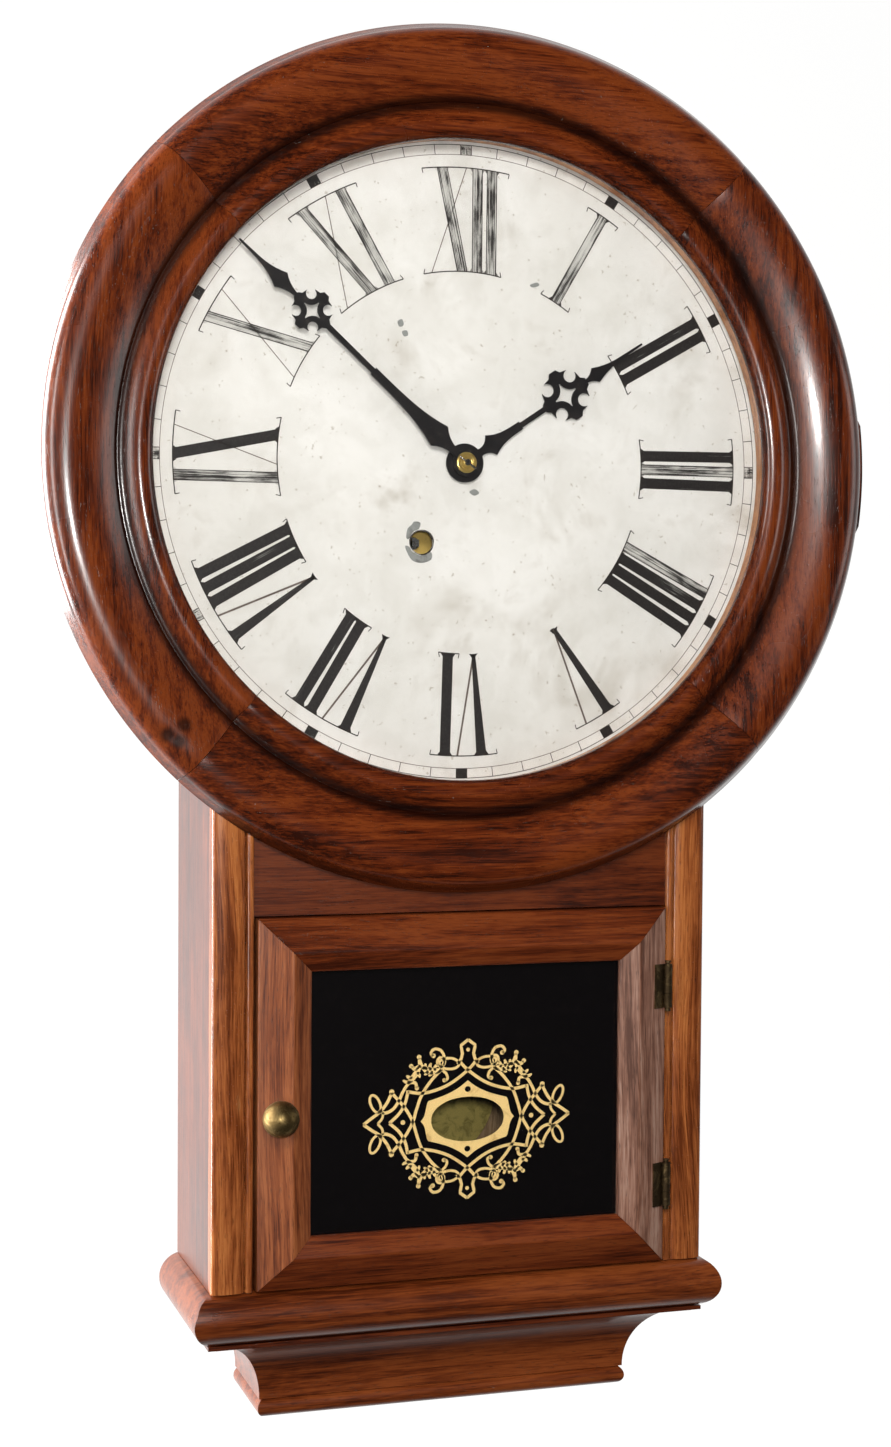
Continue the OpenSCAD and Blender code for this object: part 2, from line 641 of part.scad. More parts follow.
module winding_arbor() color("silver") on_dial() translate([winding_at[0], 0, winding_at[1]]) {
    teeth = 24;
    square_w = 3.4;
    square_end = 66;
    rod_y(2, -28.3, rear_y + plate_t - 0.2);
    rod_y(2.8, -59.7, -28.3);
    rod_y(3, -61.4, -59.7);
    translate([-square_w / 2, -square_end, -square_w / 2]) cube([square_w, square_end - 61.3, square_w]);
    // The ratchet, squared on the arbor in front of the great wheel
    translate([0, -32.3, 0]) rotate([90, 0, 0]) linear_extrude(2)
        polygon([for (k = [0:teeth - 1], p = [[12, 0], [10, 0.2]])
            p[0] * [cos(360 * (k + p[1]) / teeth), sin(360 * (k + p[1]) / teeth)]]);
}
// The click hangs on the great wheel's post with its nose between two ratchet teeth
module click() color("silver") on_dial()
    translate([winding_at[0] + 17, -32.3, winding_at[1]]) rotate([90, 0, 0])
        linear_extrude(2) difference() {
            hub = [for (k = [0:28]) 2.4 * [cos(172 + 10 * k), sin(172 + 10 * k)]];
            polygon(concat(hub, [[-4.6, 8.6], [-7.7, 7.2], [-7.93, 6.33], [-5.2, 6.9]]));
            circle(1 + run_gap);
        }
// An open coil of half turns, each a little wider than the one before
module mainspring() color("slategray") on_dial()
    translate([winding_at[0], -38, winding_at[1]]) rotate([90, 0, 0]) {
        turn = 2.4;
        strip = 0.5;
        first = 6;
        for (k = [0:13]) {
            r = first + k * turn / 2;
            translate([k % 2 == 0 ? 0 : turn / 2, 0, 0]) rotate([0, 0, 180 * (k % 2)])
                rotate_extrude(angle = 180) translate([r, 0]) square([strip, 16]);
        }
    }
module second_wheel() color("goldenrod") on_dial() translate([second_at[0], 0, second_at[1]]) {
    wheel(second_n, second_m, big_pinion_n, -58.4, 1.2, second_phase);
    lantern(big_pinion_n, great_m, -33.4, -27.4, second_pinion_phase);
    arbor();
}
module centre_wheel() color("goldenrod") on_dial() {
    difference() {
        union() {
            wheel(centre_n, train_m, small_pinion_n, -35.8, 1.2, centre_phase);
            lantern(big_pinion_n, second_m, -59.4, -55.4, centre_pinion_phase);
            rod_y(2.6, -55.5, -34.6);
        }
        rod_y(arbor_r + run_gap, -62, -30);
    }
}
module centre_arbor() color("silver") on_dial() {
    rod_y(arbor_r, -83.3, rear_y - 0.3);
    rod_y(pivot_r, rear_y - 0.4, rear_y + plate_t - 0.2);
    // The cannon: a lantern pinion for the motion work and the pipe that carries the hour wheel
    lantern(big_pinion_n, motion_m, -66.2, -62.4, cannon_phase);
    rod_y(2.15, -79.4, -66);
}
module minute_wheel() color("goldenrod") on_dial() difference() {
    translate([motion_at[0], 0, motion_at[1]]) {
        difference() {
            wheel(motion_n, motion_m, big_pinion_n, -64.8, 1, motion_phase, 2.2, 5, 2.4);
            rod_y(2.6, -70, -60);
        }
        lantern(big_pinion_n, hour_m, -69.8, -64.8, motion_pinion_phase);
        rod_y(2.7, -69.8, -63.8);
    }
    rod_y(1 + run_gap, -75, -60, motion_at);
}
module hour_wheel() color("goldenrod") on_dial() difference() {
    union() {
        wheel(hour_n, hour_m, big_pinion_n, -68.2, 1, hour_phase, 2.2, 5, 2.4);
        rod_y(3.4, -78.9, -67.2);
        rod_y(4.4, -70.2, -67.2);
    }
    rod_y(2.15 + run_gap, -80, -66);
}
module third_wheel() color("goldenrod") on_dial() translate([third_at[0], 0, third_at[1]]) {
    wheel(third_n, train_m, small_pinion_n, -46, 1.2, third_phase);
    lantern(small_pinion_n, train_m, -37.4, -33, third_pinion_phase);
    arbor();
}
module escape_wheel() color("goldenrod") on_dial() translate([escape_at[0], 0, escape_at[1]]) {
    translate([0, -52.4, 0]) rotate([90, 0, 0]) linear_extrude(1) difference() {
        polygon([for (k = [0:escape_n - 1], p = [[escape_r, 0], [escape_r - 2.6, 0.35], [escape_r - 2.6, 0.75]])
            p[0] * [cos(360 * (k + p[1]) / escape_n), sin(360 * (k + p[1]) / escape_n)]]);
        crossings(escape_r - 4.8, 3.4, 1.8);
    }
    lantern(small_pinion_n, train_m, -47.6, -43.4, escape_pinion_phase);
    arbor();
}
// The verge: a curved strip anchor above the escape wheel, its arbor and the crutch behind
module verge() color("silver") on_dial() {
    reach = 17;
    strip = 2;
    half = 36;
    translate([escape_at[0], -51.4, escape_at[1]]) rotate([90, 0, 0]) rotate([0, 0, 90 - half]) {
        rotate_extrude(angle = 2 * half) translate([reach, 0]) square([strip, 3]);
    }
    rod_y(3.4, -54.4, -51.4, verge_at);
    rod_y(1.2, front_y + plate_t + 0.3, -21.8, verge_at);
    rod_y(pivot_r, front_y + 0.2, front_y + plate_t + 0.4, verge_at);
    rod_y(2.6, -23.6, -21.8, verge_at);
    rod_z(0.7, 18, verge_at[1] - 1, [0, -22.7]);
    for (x = [-2.4, 2.4]) rod_y(0.6, -23.3, -14.4, [x, 18]);
    rod_x(0.6, -2.4, 2.4, [-22.7, 18]);
    rod_x(0.6, -2.4, 2.4, [-14.6, 18]);
}

// ---- hands --------------------------------------------------------------------------
// Points on a bow from p towards q that sags by sag to the left of the line, without q
function bow(p, q, sag) =
    let (d = q - p, side = [-d[1], d[0]] / norm(d))
    [for (t = [0:0.2:0.8]) p + t * d + 4 * sag * t * (1 - t) * side];
// The half outline given, with its mirror image
function both_sides(half) =
    concat(half, [for (k = [len(half) - 1:-1:0]) [-half[k][0], half[k][1]]]);
// A pierced cross: four horned arms round a curved square hole, with a round bite between arms
module pierced_cross(r) difference() {
    polygon([for (arm = [0:90:270],
                  p = [[0.93, -33], [0.87, -17], [1, -8], [1, 8], [0.87, 17], [0.93, 33]])
        r * p[0] * [cos(arm + p[1]), sin(arm + p[1])]]);
    for (a = [45:90:315]) rotate(a) translate([0.74 * r, 0]) circle(0.245 * r);
    difference() {
        circle(0.47 * r);
        for (a = [45:90:315]) rotate(a) translate([0.74 * r, 0]) circle(0.5 * r);
    }
}
// Drawn along +Y: the boss, a root with two barbs, a stepped shaft, the cross and a barbed tip
module hand_outline(length, boss_r, root_at, root_w, step, cross_at, cross_r, tip_at, tip_w) {
    shaft = 1.3;
    step_w = 2.1;
    flare = 3.3;
    circle(boss_r);
    polygon(both_sides(concat(
        bow([2, boss_r - 1], [root_w, root_at], 1.6),
        [for (t = [0:0.1:1]) [step_w + (root_w - step_w) * pow(1 - t, flare), root_at + t * (step - root_at)]])));
    polygon(both_sides([[shaft, step - 1], [shaft, cross_at - 0.85 * cross_r]]));
    translate([0, cross_at]) pierced_cross(cross_r);
    polygon(both_sides(concat(
        bow([0.9, cross_at + 0.9 * cross_r], [tip_w, tip_at], 0.9),
        bow([tip_w, tip_at], [0.8, tip_at + 0.55 * (length - tip_at)], 0.8),
        [[0.8, tip_at + 0.55 * (length - tip_at)], [0.45, length - 0.3], [0.2, length]])));
}
module hand(y0, t, angle) translate([0, y0 + t, 0]) rotate([90, 0, 0]) rotate(-angle)
    linear_extrude(t) children();
module minute_hand() color("black") on_dial() hand(-80.7, 0.8, minute_angle) difference() {
    hand_outline(minute_len, 6.5, 18.1, 6.2, 62, 102, 10.5, 122, 4.5);
    circle(arbor_r);
}
module hour_hand() color("black") on_dial() difference() {
    union() {
        hand(-78.3, 0.8, hour_angle)
            hand_outline(hour_len, 9.3, 16, 5.5, 34, 61.5, 13, 80, 3.9);
        rod_y(5.4, -78.7, -77);
    }
    rod_y(3.4, -80, -76);
}
module hand_washer() color("goldenrod") on_dial() {
    difference() {
        turned() rotate_extrude() polygon([[0, 80.7], [5, 80.7], [4.6, 81.5], [0, 82.3]]);
        rod_y(arbor_r, -90, -70);
    }
    // The tapered pin that locks the washer, lying across the arbor
    difference() {
        translate([0, -82.7, 0]) rotate([0, -55, 0]) translate([0, 0, -5])
            cylinder(r1 = 0.4, r2 = 0.65, h = 10);
        rod_y(arbor_r, -90, -70);
    }
}

// ---- pendulum -----------------------------------------------------------------------
module suspension_cock() color("goldenrod") on_dial() difference() {
    union() {
        slab([-9, 9], [rear_y + plate_t, -20.6], [59, 72]);
        slab([-5, 5], [-20.6, -13.4], [49, 64]);
    }
    slab([-0.6, 0.6], [-22, -12], [48, 57]);
    slab([-3.4, 3.4], [-22, -12], [55, 60]);
}
module pendulum_rod() color("burlywood") on_dial() {
    // The suspension ribbon with its top pin, then the rod and its threaded end
    slab([-0.1, 0.1], [-19.8, -15.2], [37, 56]);
    difference() {
        rod_x(0.9, -2.8, 2.8, [pendulum_y, 56.9]);
        slab([-0.1, 0.1], [-19.8, -15.2], [30, 56]);
    }
    difference() {
        rod_z(2.4, 32, 42, [0, pendulum_y]);
        slab([-0.1, 0.1], [-19.8, -15.2], [37, 60]);
    }
    rod_z(rod_r, verge_at[1] - pendulum_len - bob_r - 14, 32, [0, pendulum_y]);
}
module pendulum_bob() color("gold") on_dial()
    translate([0, pendulum_y, verge_at[1] - pendulum_len]) difference() {
        lens_r = (bob_r * bob_r + bob_t * bob_t / 4) / bob_t;
        rotate([90, 0, 0]) intersection() {
            translate([0, 0, lens_r - bob_t / 2]) sphere(lens_r, $fn = 200);
            translate([0, 0, bob_t / 2 - lens_r]) sphere(lens_r, $fn = 200);
            cylinder(r = bob_r - 0.8, h = bob_t, center = true);
        }
        translate([0, 0, -bob_r]) cylinder(r = rod_r + run_gap, h = 2 * bob_r);
    }
module rating_nut() color("gold") on_dial() {
    z = verge_at[1] - pendulum_len - bob_r;
    difference() {
        union() {
            rod_z(4.6, z - 4, z - 0.2, [0, pendulum_y]);
            rod_z(2.8, z - 6, z - 4, [0, pendulum_y]);
        }
        rod_z(rod_r + run_gap, z - 10, z + 1, [0, pendulum_y]);
    }
}

back_board();
left_side_board();
right_side_board();
top_board();
bottom_board();
left_column();
right_column();
frieze_panel();
door_stops();
base_torus();
base_fascia();
base_cove();
base_foot();
dial_ring();
dial_pan();
dial_paper();
hanger_plate();
case_screws();
bezel_top();
bezel_left();
bezel_bottom();
bezel_right();
bezel_glass();
bezel_glazing_ring();
bezel_hinges_fixed();
bezel_hinges_moving();
bezel_catch_pin();
bezel_hook();
door_top_rail();
door_bottom_rail();
door_left_stile();
door_right_stile();
door_glass();
door_glazing_beads();
door_hinges_fixed();
door_hinges_moving();
door_knob();
door_latch_blade();
front_plate();
rear_plate();
movement_pillars();
great_wheel();
winding_arbor();
click();
mainspring();
second_wheel();
centre_wheel();
centre_arbor();
minute_hand();
hand_washer();
minute_wheel();
hour_wheel();
hour_hand();
third_wheel();
escape_wheel();
verge();
suspension_cock();
pendulum_rod();
pendulum_bob();
rating_nut();
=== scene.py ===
"""Dresses a drop-trunk wall clock: polished wood, a printed dial, a gilt tablet and a brass movement."""

import json
import logging
import math
from dataclasses import dataclass
from enum import Enum
from typing import Any, Callable, Sequence

import bmesh
import bpy
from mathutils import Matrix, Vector


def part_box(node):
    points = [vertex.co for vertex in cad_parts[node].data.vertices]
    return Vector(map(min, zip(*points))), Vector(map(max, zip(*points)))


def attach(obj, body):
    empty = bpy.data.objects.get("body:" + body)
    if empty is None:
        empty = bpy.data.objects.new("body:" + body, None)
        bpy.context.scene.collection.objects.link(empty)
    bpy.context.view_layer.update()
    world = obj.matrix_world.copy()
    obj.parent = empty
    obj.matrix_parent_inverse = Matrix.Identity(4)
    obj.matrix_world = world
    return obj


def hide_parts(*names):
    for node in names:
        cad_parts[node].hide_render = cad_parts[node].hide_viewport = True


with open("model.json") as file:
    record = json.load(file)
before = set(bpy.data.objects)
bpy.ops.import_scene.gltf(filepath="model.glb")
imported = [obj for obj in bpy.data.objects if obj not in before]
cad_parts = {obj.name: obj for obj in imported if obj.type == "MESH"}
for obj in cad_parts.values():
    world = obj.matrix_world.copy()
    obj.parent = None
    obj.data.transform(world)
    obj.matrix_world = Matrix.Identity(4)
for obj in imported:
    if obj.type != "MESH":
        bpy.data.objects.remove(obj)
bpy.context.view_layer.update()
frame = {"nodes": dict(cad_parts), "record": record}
MM = 0.001
log = logging.getLogger("wall_clock")

Point = tuple[float, float]
Colour = tuple[float, float, float]
Spot = tuple[float, float, float]
Width = Callable[[float], float] | float


class Grain(Enum):
    """The axis that a board's grain runs along."""

    X = 0
    Z = 2


# ---- shader maths ---------------------------------------------------------------------


class Value:
    """A number that changes over a surface, written with Python's own operators."""

    def __init__(self, surface: "Surface", socket: bpy.types.NodeSocket) -> None:
        """Wraps an output socket.

        Args:
            surface: The surface that the socket belongs to.
            socket: The output that holds the number.
        """
        self.surface = surface
        self.socket = socket

    def __add__(self, other: "Value | float") -> "Value":
        """Adds."""
        return self.surface.maths("ADD", self, other)

    __radd__ = __add__

    def __sub__(self, other: "Value | float") -> "Value":
        """Subtracts."""
        return self.surface.maths("SUBTRACT", self, other)

    def __rsub__(self, other: "Value | float") -> "Value":
        """Subtracts this from a number."""
        return self.surface.maths("SUBTRACT", other, self)

    def __mul__(self, other: "Value | float") -> "Value":
        """Multiplies."""
        return self.surface.maths("MULTIPLY", self, other)

    __rmul__ = __mul__

    def __pow__(self, other: "Value | float") -> "Value":
        """Raises to a power."""
        return self.surface.maths("POWER", self, other)

    def wave(self) -> "Value":
        """The sine."""
        return self.surface.maths("SINE", self)

    def size(self) -> "Value":
        """The value without its sign."""
        return self.surface.maths("ABSOLUTE", self)

    def most(self, other: "Value | float") -> "Value":
        """The larger of the two."""
        return self.surface.maths("MAXIMUM", self, other)

    def step(self, low: float, high: float) -> "Value":
        """A smooth step.

        Args:
            low: Where the step starts, at 0.
            high: Where it reaches 1; below low for a falling step.

        Returns:
            The share of the step, from 0 to 1.
        """
        flip = high < low
        made = self.surface.node(
            "ShaderNodeMapRange",
            {"interpolation_type": "SMOOTHSTEP"},
            {"Value": self, "From Min": min(low, high), "From Max": max(low, high),
             "To Min": float(flip), "To Max": float(not flip)},
        )
        return Value(self.surface, made.outputs["Result"])


class Graph:
    """A node tree that is being built, with one method for any of its nodes."""

    def __init__(self, tree: bpy.types.NodeTree) -> None:
        """Empties the tree.

        Args:
            tree: The tree of a material or of a world.
        """
        self.tree = tree
        tree.nodes.clear()

    def node(
        self,
        kind: str,
        settings: dict[str, Any] | None = None,
        inputs: dict[str | int, Any] | None = None,
    ) -> bpy.types.Node:
        """Adds a node.

        Args:
            kind: The node's type.
            settings: Its properties, or "stops" for a ramp's places and colours.
            inputs: Values, sockets or plain numbers for its inputs.

        Returns:
            The new node.
        """
        made = self.tree.nodes.new(kind)
        for key, value in (settings or {}).items():
            if key == "stops":
                ramp = made.color_ramp.elements
                while len(ramp) < len(value):
                    ramp.new(0.5)
                for stop, (at, colour) in zip(ramp, value):
                    stop.position = at
                    stop.color = (*colour, 1)
            else:
                setattr(made, key, value)
        for key, value in (inputs or {}).items():
            source = value.socket if isinstance(value, Value) else value
            if isinstance(source, bpy.types.NodeSocket):
                self.tree.links.new(source, made.inputs[key])
            else:
                made.inputs[key].default_value = source
        return made


class Surface(Graph):
    """A material that is being built, with the maths that its maker writes it in."""

    def __init__(self, name: str) -> None:
        """Starts an empty material.

        Args:
            name: The material's name.
        """
        self.material = bpy.data.materials.new(name)
        self.material.use_nodes = True
        super().__init__(self.material.node_tree)
        self.place = self.node("ShaderNodeTexCoord").outputs["Object"]
        split = self.node("ShaderNodeSeparateXYZ", inputs={0: self.place})
        self.x, self.y, self.z = (Value(self, s) for s in split.outputs)

    def maths(self, operation: str, *terms: Value | float) -> Value:
        """Adds a Math node.

        Args:
            operation: What it does.
            terms: The values or numbers that it works on.

        Returns:
            Its result.
        """
        made = self.node("ShaderNodeMath", {"operation": operation}, dict(enumerate(terms)))
        return Value(self, made.outputs[0])

    def vector(self, x: Value | float, y: Value | float, z: Value | float) -> Any:
        """The socket of a vector put together from three values."""
        return self.node("ShaderNodeCombineXYZ", inputs={0: x, 1: y, 2: z}).outputs[0]

    def noise(self, at: Any, scale: float, detail: float = 2, rough: float = 0.5, bend: float = 0) -> Value:
        """Smooth noise.

        Args:
            at: The socket of the point to read it at.
            scale: How many features there are to a metre.
            detail: How many finer layers it has.
            rough: How strong the finer layers are.
            bend: How far it is distorted.

        Returns:
            The noise, about 0.5.
        """
        made = self.node(
            "ShaderNodeTexNoise",
            inputs={"Vector": at, "Scale": scale, "Detail": detail, "Roughness": rough, "Distortion": bend},
        )
        return Value(self, made.outputs[0])

    def blend(self, first: Any, second: Any, share: Value | float) -> Any:
        """Mixes two colours.

        Args:
            first: The colour, or its socket, where the share is 0.
            second: The colour, or its socket, where the share is 1.
            share: How much of the second shows.

        Returns:
            The mixed colour's socket.
        """
        pair = [(*c, 1) if isinstance(c, tuple) and len(c) == 3 else c for c in (first, second)]
        made = self.node(
            "ShaderNodeMix", {"data_type": "RGBA", "clamp_factor": True}, {0: share, 6: pair[0], 7: pair[1]}
        )
        return made.outputs[2]

    def ramp(self, share: Value, stops: Sequence[tuple[float, Colour]]) -> Any:
        """The socket of a colour read from a ramp at a share."""
        return self.node("ShaderNodeValToRGB", {"stops": stops}, {0: share}).outputs[0]

    def bump(self, height: Value, depth: float, strength: float = 1) -> Any:
        """The socket of a normal bent by a height of 0 to 1 that stands for a depth in metres."""
        made = self.node("ShaderNodeBump", inputs={"Height": height, "Distance": depth, "Strength": strength})
        return made.outputs[0]

    def finish(self, inputs: dict[str, Any]) -> bpy.types.Material:
        """Ends the material in one Principled shader.

        Args:
            inputs: The shader's inputs.

        Returns:
            The material.
        """
        shader = self.node("ShaderNodeBsdfPrincipled", inputs=inputs)
        self.node("ShaderNodeOutputMaterial", inputs={"Surface": shader.outputs[0]})
        return self.material


# ---- finishes -------------------------------------------------------------------------


@dataclass(frozen=True)
class Wood:
    """Stained and varnished wood.

    The streaks run along the grain, the figure is the broad cloudiness across a board, and
    groove is the radius of a round moulding's quirk, where shade is painted into the colour.
    """

    name: str
    dark: Colour
    middle: Colour
    light: Colour
    rough: float = 0.3
    coat: float = 0.35
    seed: float = 0.0
    groove: float = 0.0
    ring_centre: float = 0.0
    dents: tuple[Point, ...] = ()

    def make(self, grain: Grain) -> bpy.types.Material:
        """Builds the material.

        Args:
            grain: The axis that the grain runs along.

        Returns:
            The finished wood.
        """
        s = Surface(f"{self.name}_{grain.name.lower()}")
        axes = [s.x, s.y, s.z]
        along = axes.pop(grain.value)
        across, depth = axes
        sway = s.noise(s.vector(along * 3 + self.seed, across * 6, depth * 6), 1.0, 2)
        lean = across + (sway - 0.5) * 0.03
        figure = s.noise(s.vector(along * 7 + self.seed, lean * 26, depth * 26), 1.0, 3, 0.55, 0.6)
        streak = s.noise(s.vector(along * 9, lean * 330, depth * 330 + self.seed), 1.0, 4, 0.62)
        fibre = s.noise(s.vector(along * 60, lean * 1500, depth * 1500), 1.0, 2, 0.6)
        pores = s.noise(s.vector(along * 190, lean * 2600, depth * 2600), 1.0, 1).step(0.36, 0.27)
        rings = ((lean * 420 + figure * 9).wave() * 0.5 + 0.5) ** 2
        cloud = s.noise(s.vector(along * 14 + self.seed, lean * 20, depth * 20), 1.0, 4, 0.62, 1.0) - 0.5
        tone = figure * 0.8 + cloud * 0.5 + (streak - 0.5) * 1.1 + rings * 0.1 + (fibre - 0.5) * 0.8 + 0.03
        colour = s.ramp(
            tone,
            [(0.22, self.dark), (0.46, self.middle), (0.70, self.light), (0.95, self.middle)],
        )
        # pores darken the colour; a round moulding also gets painted shade in its quirk and towards the glass
        shade = self.quirk_shade_and_dents(s, pores * 0.55) if self.groove else pores * 0.55
        colour = s.blend(colour, tuple(c * 0.16 for c in self.dark), shade)
        worn = s.noise(s.place, 11, 3, 0.6)
        dust = s.noise(s.place, 900, 2, 0.7).step(0.66, 0.78)
        height = (fibre - 0.5) * 0.35 - pores * 0.5 + (worn - 0.5) * 2.5 + streak * 0.5
        return s.finish({
            "Base Color": colour,
            "Roughness": (worn - 0.5) * 0.18 + dust * 0.18 + self.rough,
            "Coat Weight": self.coat,
            "Coat Roughness": 0.12,
            "Normal": s.bump(height, 0.12 * MM, 0.55),
        })

    def quirk_shade_and_dents(self, s: Surface, shade: Value) -> Value:
        """Paints shade into the quirk and along the bead's inner edge down to the glass, and darkens the dents of
        a round moulding.

        Args:
            s: The surface.
            shade: How dark it is so far.

        Returns:
            How dark it is with the painted shade and the darkened dents.
        """
        quirk, bead = (5.5 * MM, 1.2 * MM), (self.groove - 11 * MM, self.groove - 16 * MM)
        reach = self.away(s, 0.0, self.ring_centre)
        # painted shade: the quirk between the roll and the bead is darkened as if shadowed
        shade = shade.most((reach - self.groove).size().step(*quirk) * 0.85)
        # painted shade: the bead's inner slope and the lip darken towards the glass
        shade = shade.most(reach.step(*bead) * 0.25)
        for x, z in self.dents:
            shade = shade.most(self.away(s, x, z).step(5 * MM, 1.5 * MM) * 0.8)
        return shade

    def away(self, s: Surface, x: float, z: float) -> Value:
        """How far the surface is, seen from the front, from the place x, z."""
        across, lift = s.x - x, s.z - z
        return (across * across + lift * lift) ** 0.5


@dataclass(frozen=True)
class Metal:
    """Brass or steel with brushing, stains and dark tarnish."""

    name: str
    bright: Colour
    tarnish: Colour
    rough: float
    age: float
    metallic: float = 1.0

    def make(self) -> bpy.types.Material:
        """Builds the metal."""
        s = Surface(self.name)
        brushing = s.noise(s.vector(s.x * 70, s.y * 2600, s.z * 2600), 1.0, 3, 0.6)
        cloud = s.noise(s.place, 160, 4, 0.62, 0.8)
        spots = s.noise(s.place, 900, 2, 0.6).step(0.62, 0.72)
        stain = (cloud.step(0.66 - self.age * 0.5, 0.8 - self.age * 0.3) + spots * 0.5 * self.age) * 0.85
        return s.finish({
            "Base Color": s.blend(self.bright, self.tarnish, stain),
            "Metallic": self.metallic,
            "Roughness": (brushing - 0.5) * 0.16 + stain * 0.25 + self.rough,
            "Normal": s.bump(brushing + cloud * 0.6, 0.02 * MM, 0.5),
        })


@dataclass(frozen=True)
class Paint:
    """Black japanned metal or paint, with brown wear and fine dust."""

    name: str
    base: Colour
    wear: Colour
    rough: float = 0.38
    shine: float = 0.5

    def make(self) -> bpy.types.Material:
        """Builds the paint."""
        s = Surface(self.name)
        cloud = s.noise(s.place, 210, 3, 0.6)
        specks = s.noise(s.place, 1700, 2, 0.5).step(0.62, 0.72)
        return s.finish({
            "Base Color": s.blend(self.base, self.wear, cloud.step(0.5, 0.85) * 0.6 + specks * 0.3),
            "Roughness": (cloud - 0.5) * 0.25 + self.rough,
            "Specular IOR Level": self.shine,
            "Normal": s.bump(cloud + specks * 0.3, 0.03 * MM, 0.5),
        })


@dataclass(frozen=True)
class AgedPaper:
    """The dial's printed paper: pale grey, mottled, with brown foxing and rubbed patches."""

    name: str = "aged_dial_paper"
    base: Colour = (0.70, 0.685, 0.65)
    pale: Colour = (0.84, 0.83, 0.81)
    stain: Colour = (0.47, 0.43, 0.37)

    def make(self) -> bpy.types.Material:
        """Builds the paper."""
        s = Surface(self.name)
        broad = s.noise(s.place, 9, 4, 0.6, 0.5)
        fine = s.noise(s.place, 48, 4, 0.68, 0.4)
        fibre = s.noise(s.vector(s.x * 420, s.y, s.z * 1500), 1.0, 3, 0.6)
        smudge = s.noise(s.place, 17, 4, 0.62, 0.6).step(0.5, 0.72) * broad.step(0.40, 0.56)
        fox = s.noise(s.place, 520, 1, 0.4).step(0.735, 0.77)
        cloud = broad.step(0.36, 0.64) * 0.6 + fine.step(0.34, 0.62) * 0.45
        ground = s.blend(self.base, self.pale, cloud + (fibre - 0.5) * 0.4)
        marked = s.blend(ground, self.stain, smudge * 0.62 + fox * 0.7 + fine.step(0.56, 0.74) * 0.24)
        return s.finish({
            "Base Color": marked,
            "Roughness": (fine - 0.5) * 0.2 + 0.62,
            "Normal": s.bump(fine + fibre * 0.4, 0.06 * MM, 0.4),
        })


@dataclass(frozen=True)
class WornInk:
    """Printing ink that has rubbed away in streaks along each stroke.

    The piece's UV map runs across the stroke in u and along it in v.
    """

    name: str
    wear: float
    ink: Colour = (0.012, 0.010, 0.010)
    rubbed: Colour = (0.60, 0.59, 0.56)

    def make(self) -> bpy.types.Material:
        """Builds the ink."""
        s = Surface(self.name)
        uv = s.node("ShaderNodeUVMap").outputs[0]
        split = s.node("ShaderNodeSeparateXYZ", inputs={0: uv})
        u, v = Value(s, split.outputs[0]), Value(s, split.outputs[1])
        streak = s.noise(s.vector(u * 13.0, v * 0.8, 0.0), 1.0, 4, 0.66, 0.3)
        patch = s.noise(s.vector(u * 0.7, v * 2.4, 4.0), 1.0, 3, 0.6)
        rub = (streak * 0.62 + patch * 0.38 + (self.wear - 0.5) * 0.74).step(0.48, 0.545)
        grey = s.noise(s.place, 1400, 2, 0.6)
        tone = s.blend(self.ink, (0.10, 0.09, 0.085), (grey - 0.42) * 0.8)
        return s.finish({
            "Base Color": s.blend(tone, self.rubbed, rub * min(1.0, self.wear * 2.2)),
            "Roughness": (grey - 0.5) * 0.2 + 0.55,
            "Normal": s.bump(grey, 0.02 * MM, 0.3),
        })


@dataclass(frozen=True)
class ClearGlass:
    """Thin window glass: clear, with a mirror's share that grows at grazing angles."""

    name: str
    index: float = 1.5
    tint: Colour = (0.99, 0.99, 0.986)

    def make(self) -> bpy.types.Material:
        """Builds the glass."""
        s = Surface(self.name)
        ripple = s.noise(s.place, 14, 2, 0.5)
        gloss = s.node("ShaderNodeBsdfGlossy", inputs={
            "Color": (1, 1, 1, 1), "Roughness": 0.02, "Normal": s.bump(ripple, 0.05 * MM, 0.3)})
        clear = s.node("ShaderNodeBsdfTransparent", inputs={"Color": (*self.tint, 1)})
        share = s.node("ShaderNodeFresnel", inputs={"IOR": self.index})
        mixed = s.node("ShaderNodeMixShader", inputs={
            0: share.outputs[0], 1: clear.outputs[0], 2: gloss.outputs[0]})
        s.node("ShaderNodeOutputMaterial", inputs={"Surface": mixed.outputs[0]})
        return s.material


MAHOGANY = dict(dark=(0.022, 0.0036, 0.0011), middle=(0.088, 0.0140, 0.0027), light=(0.165, 0.0330, 0.0062))


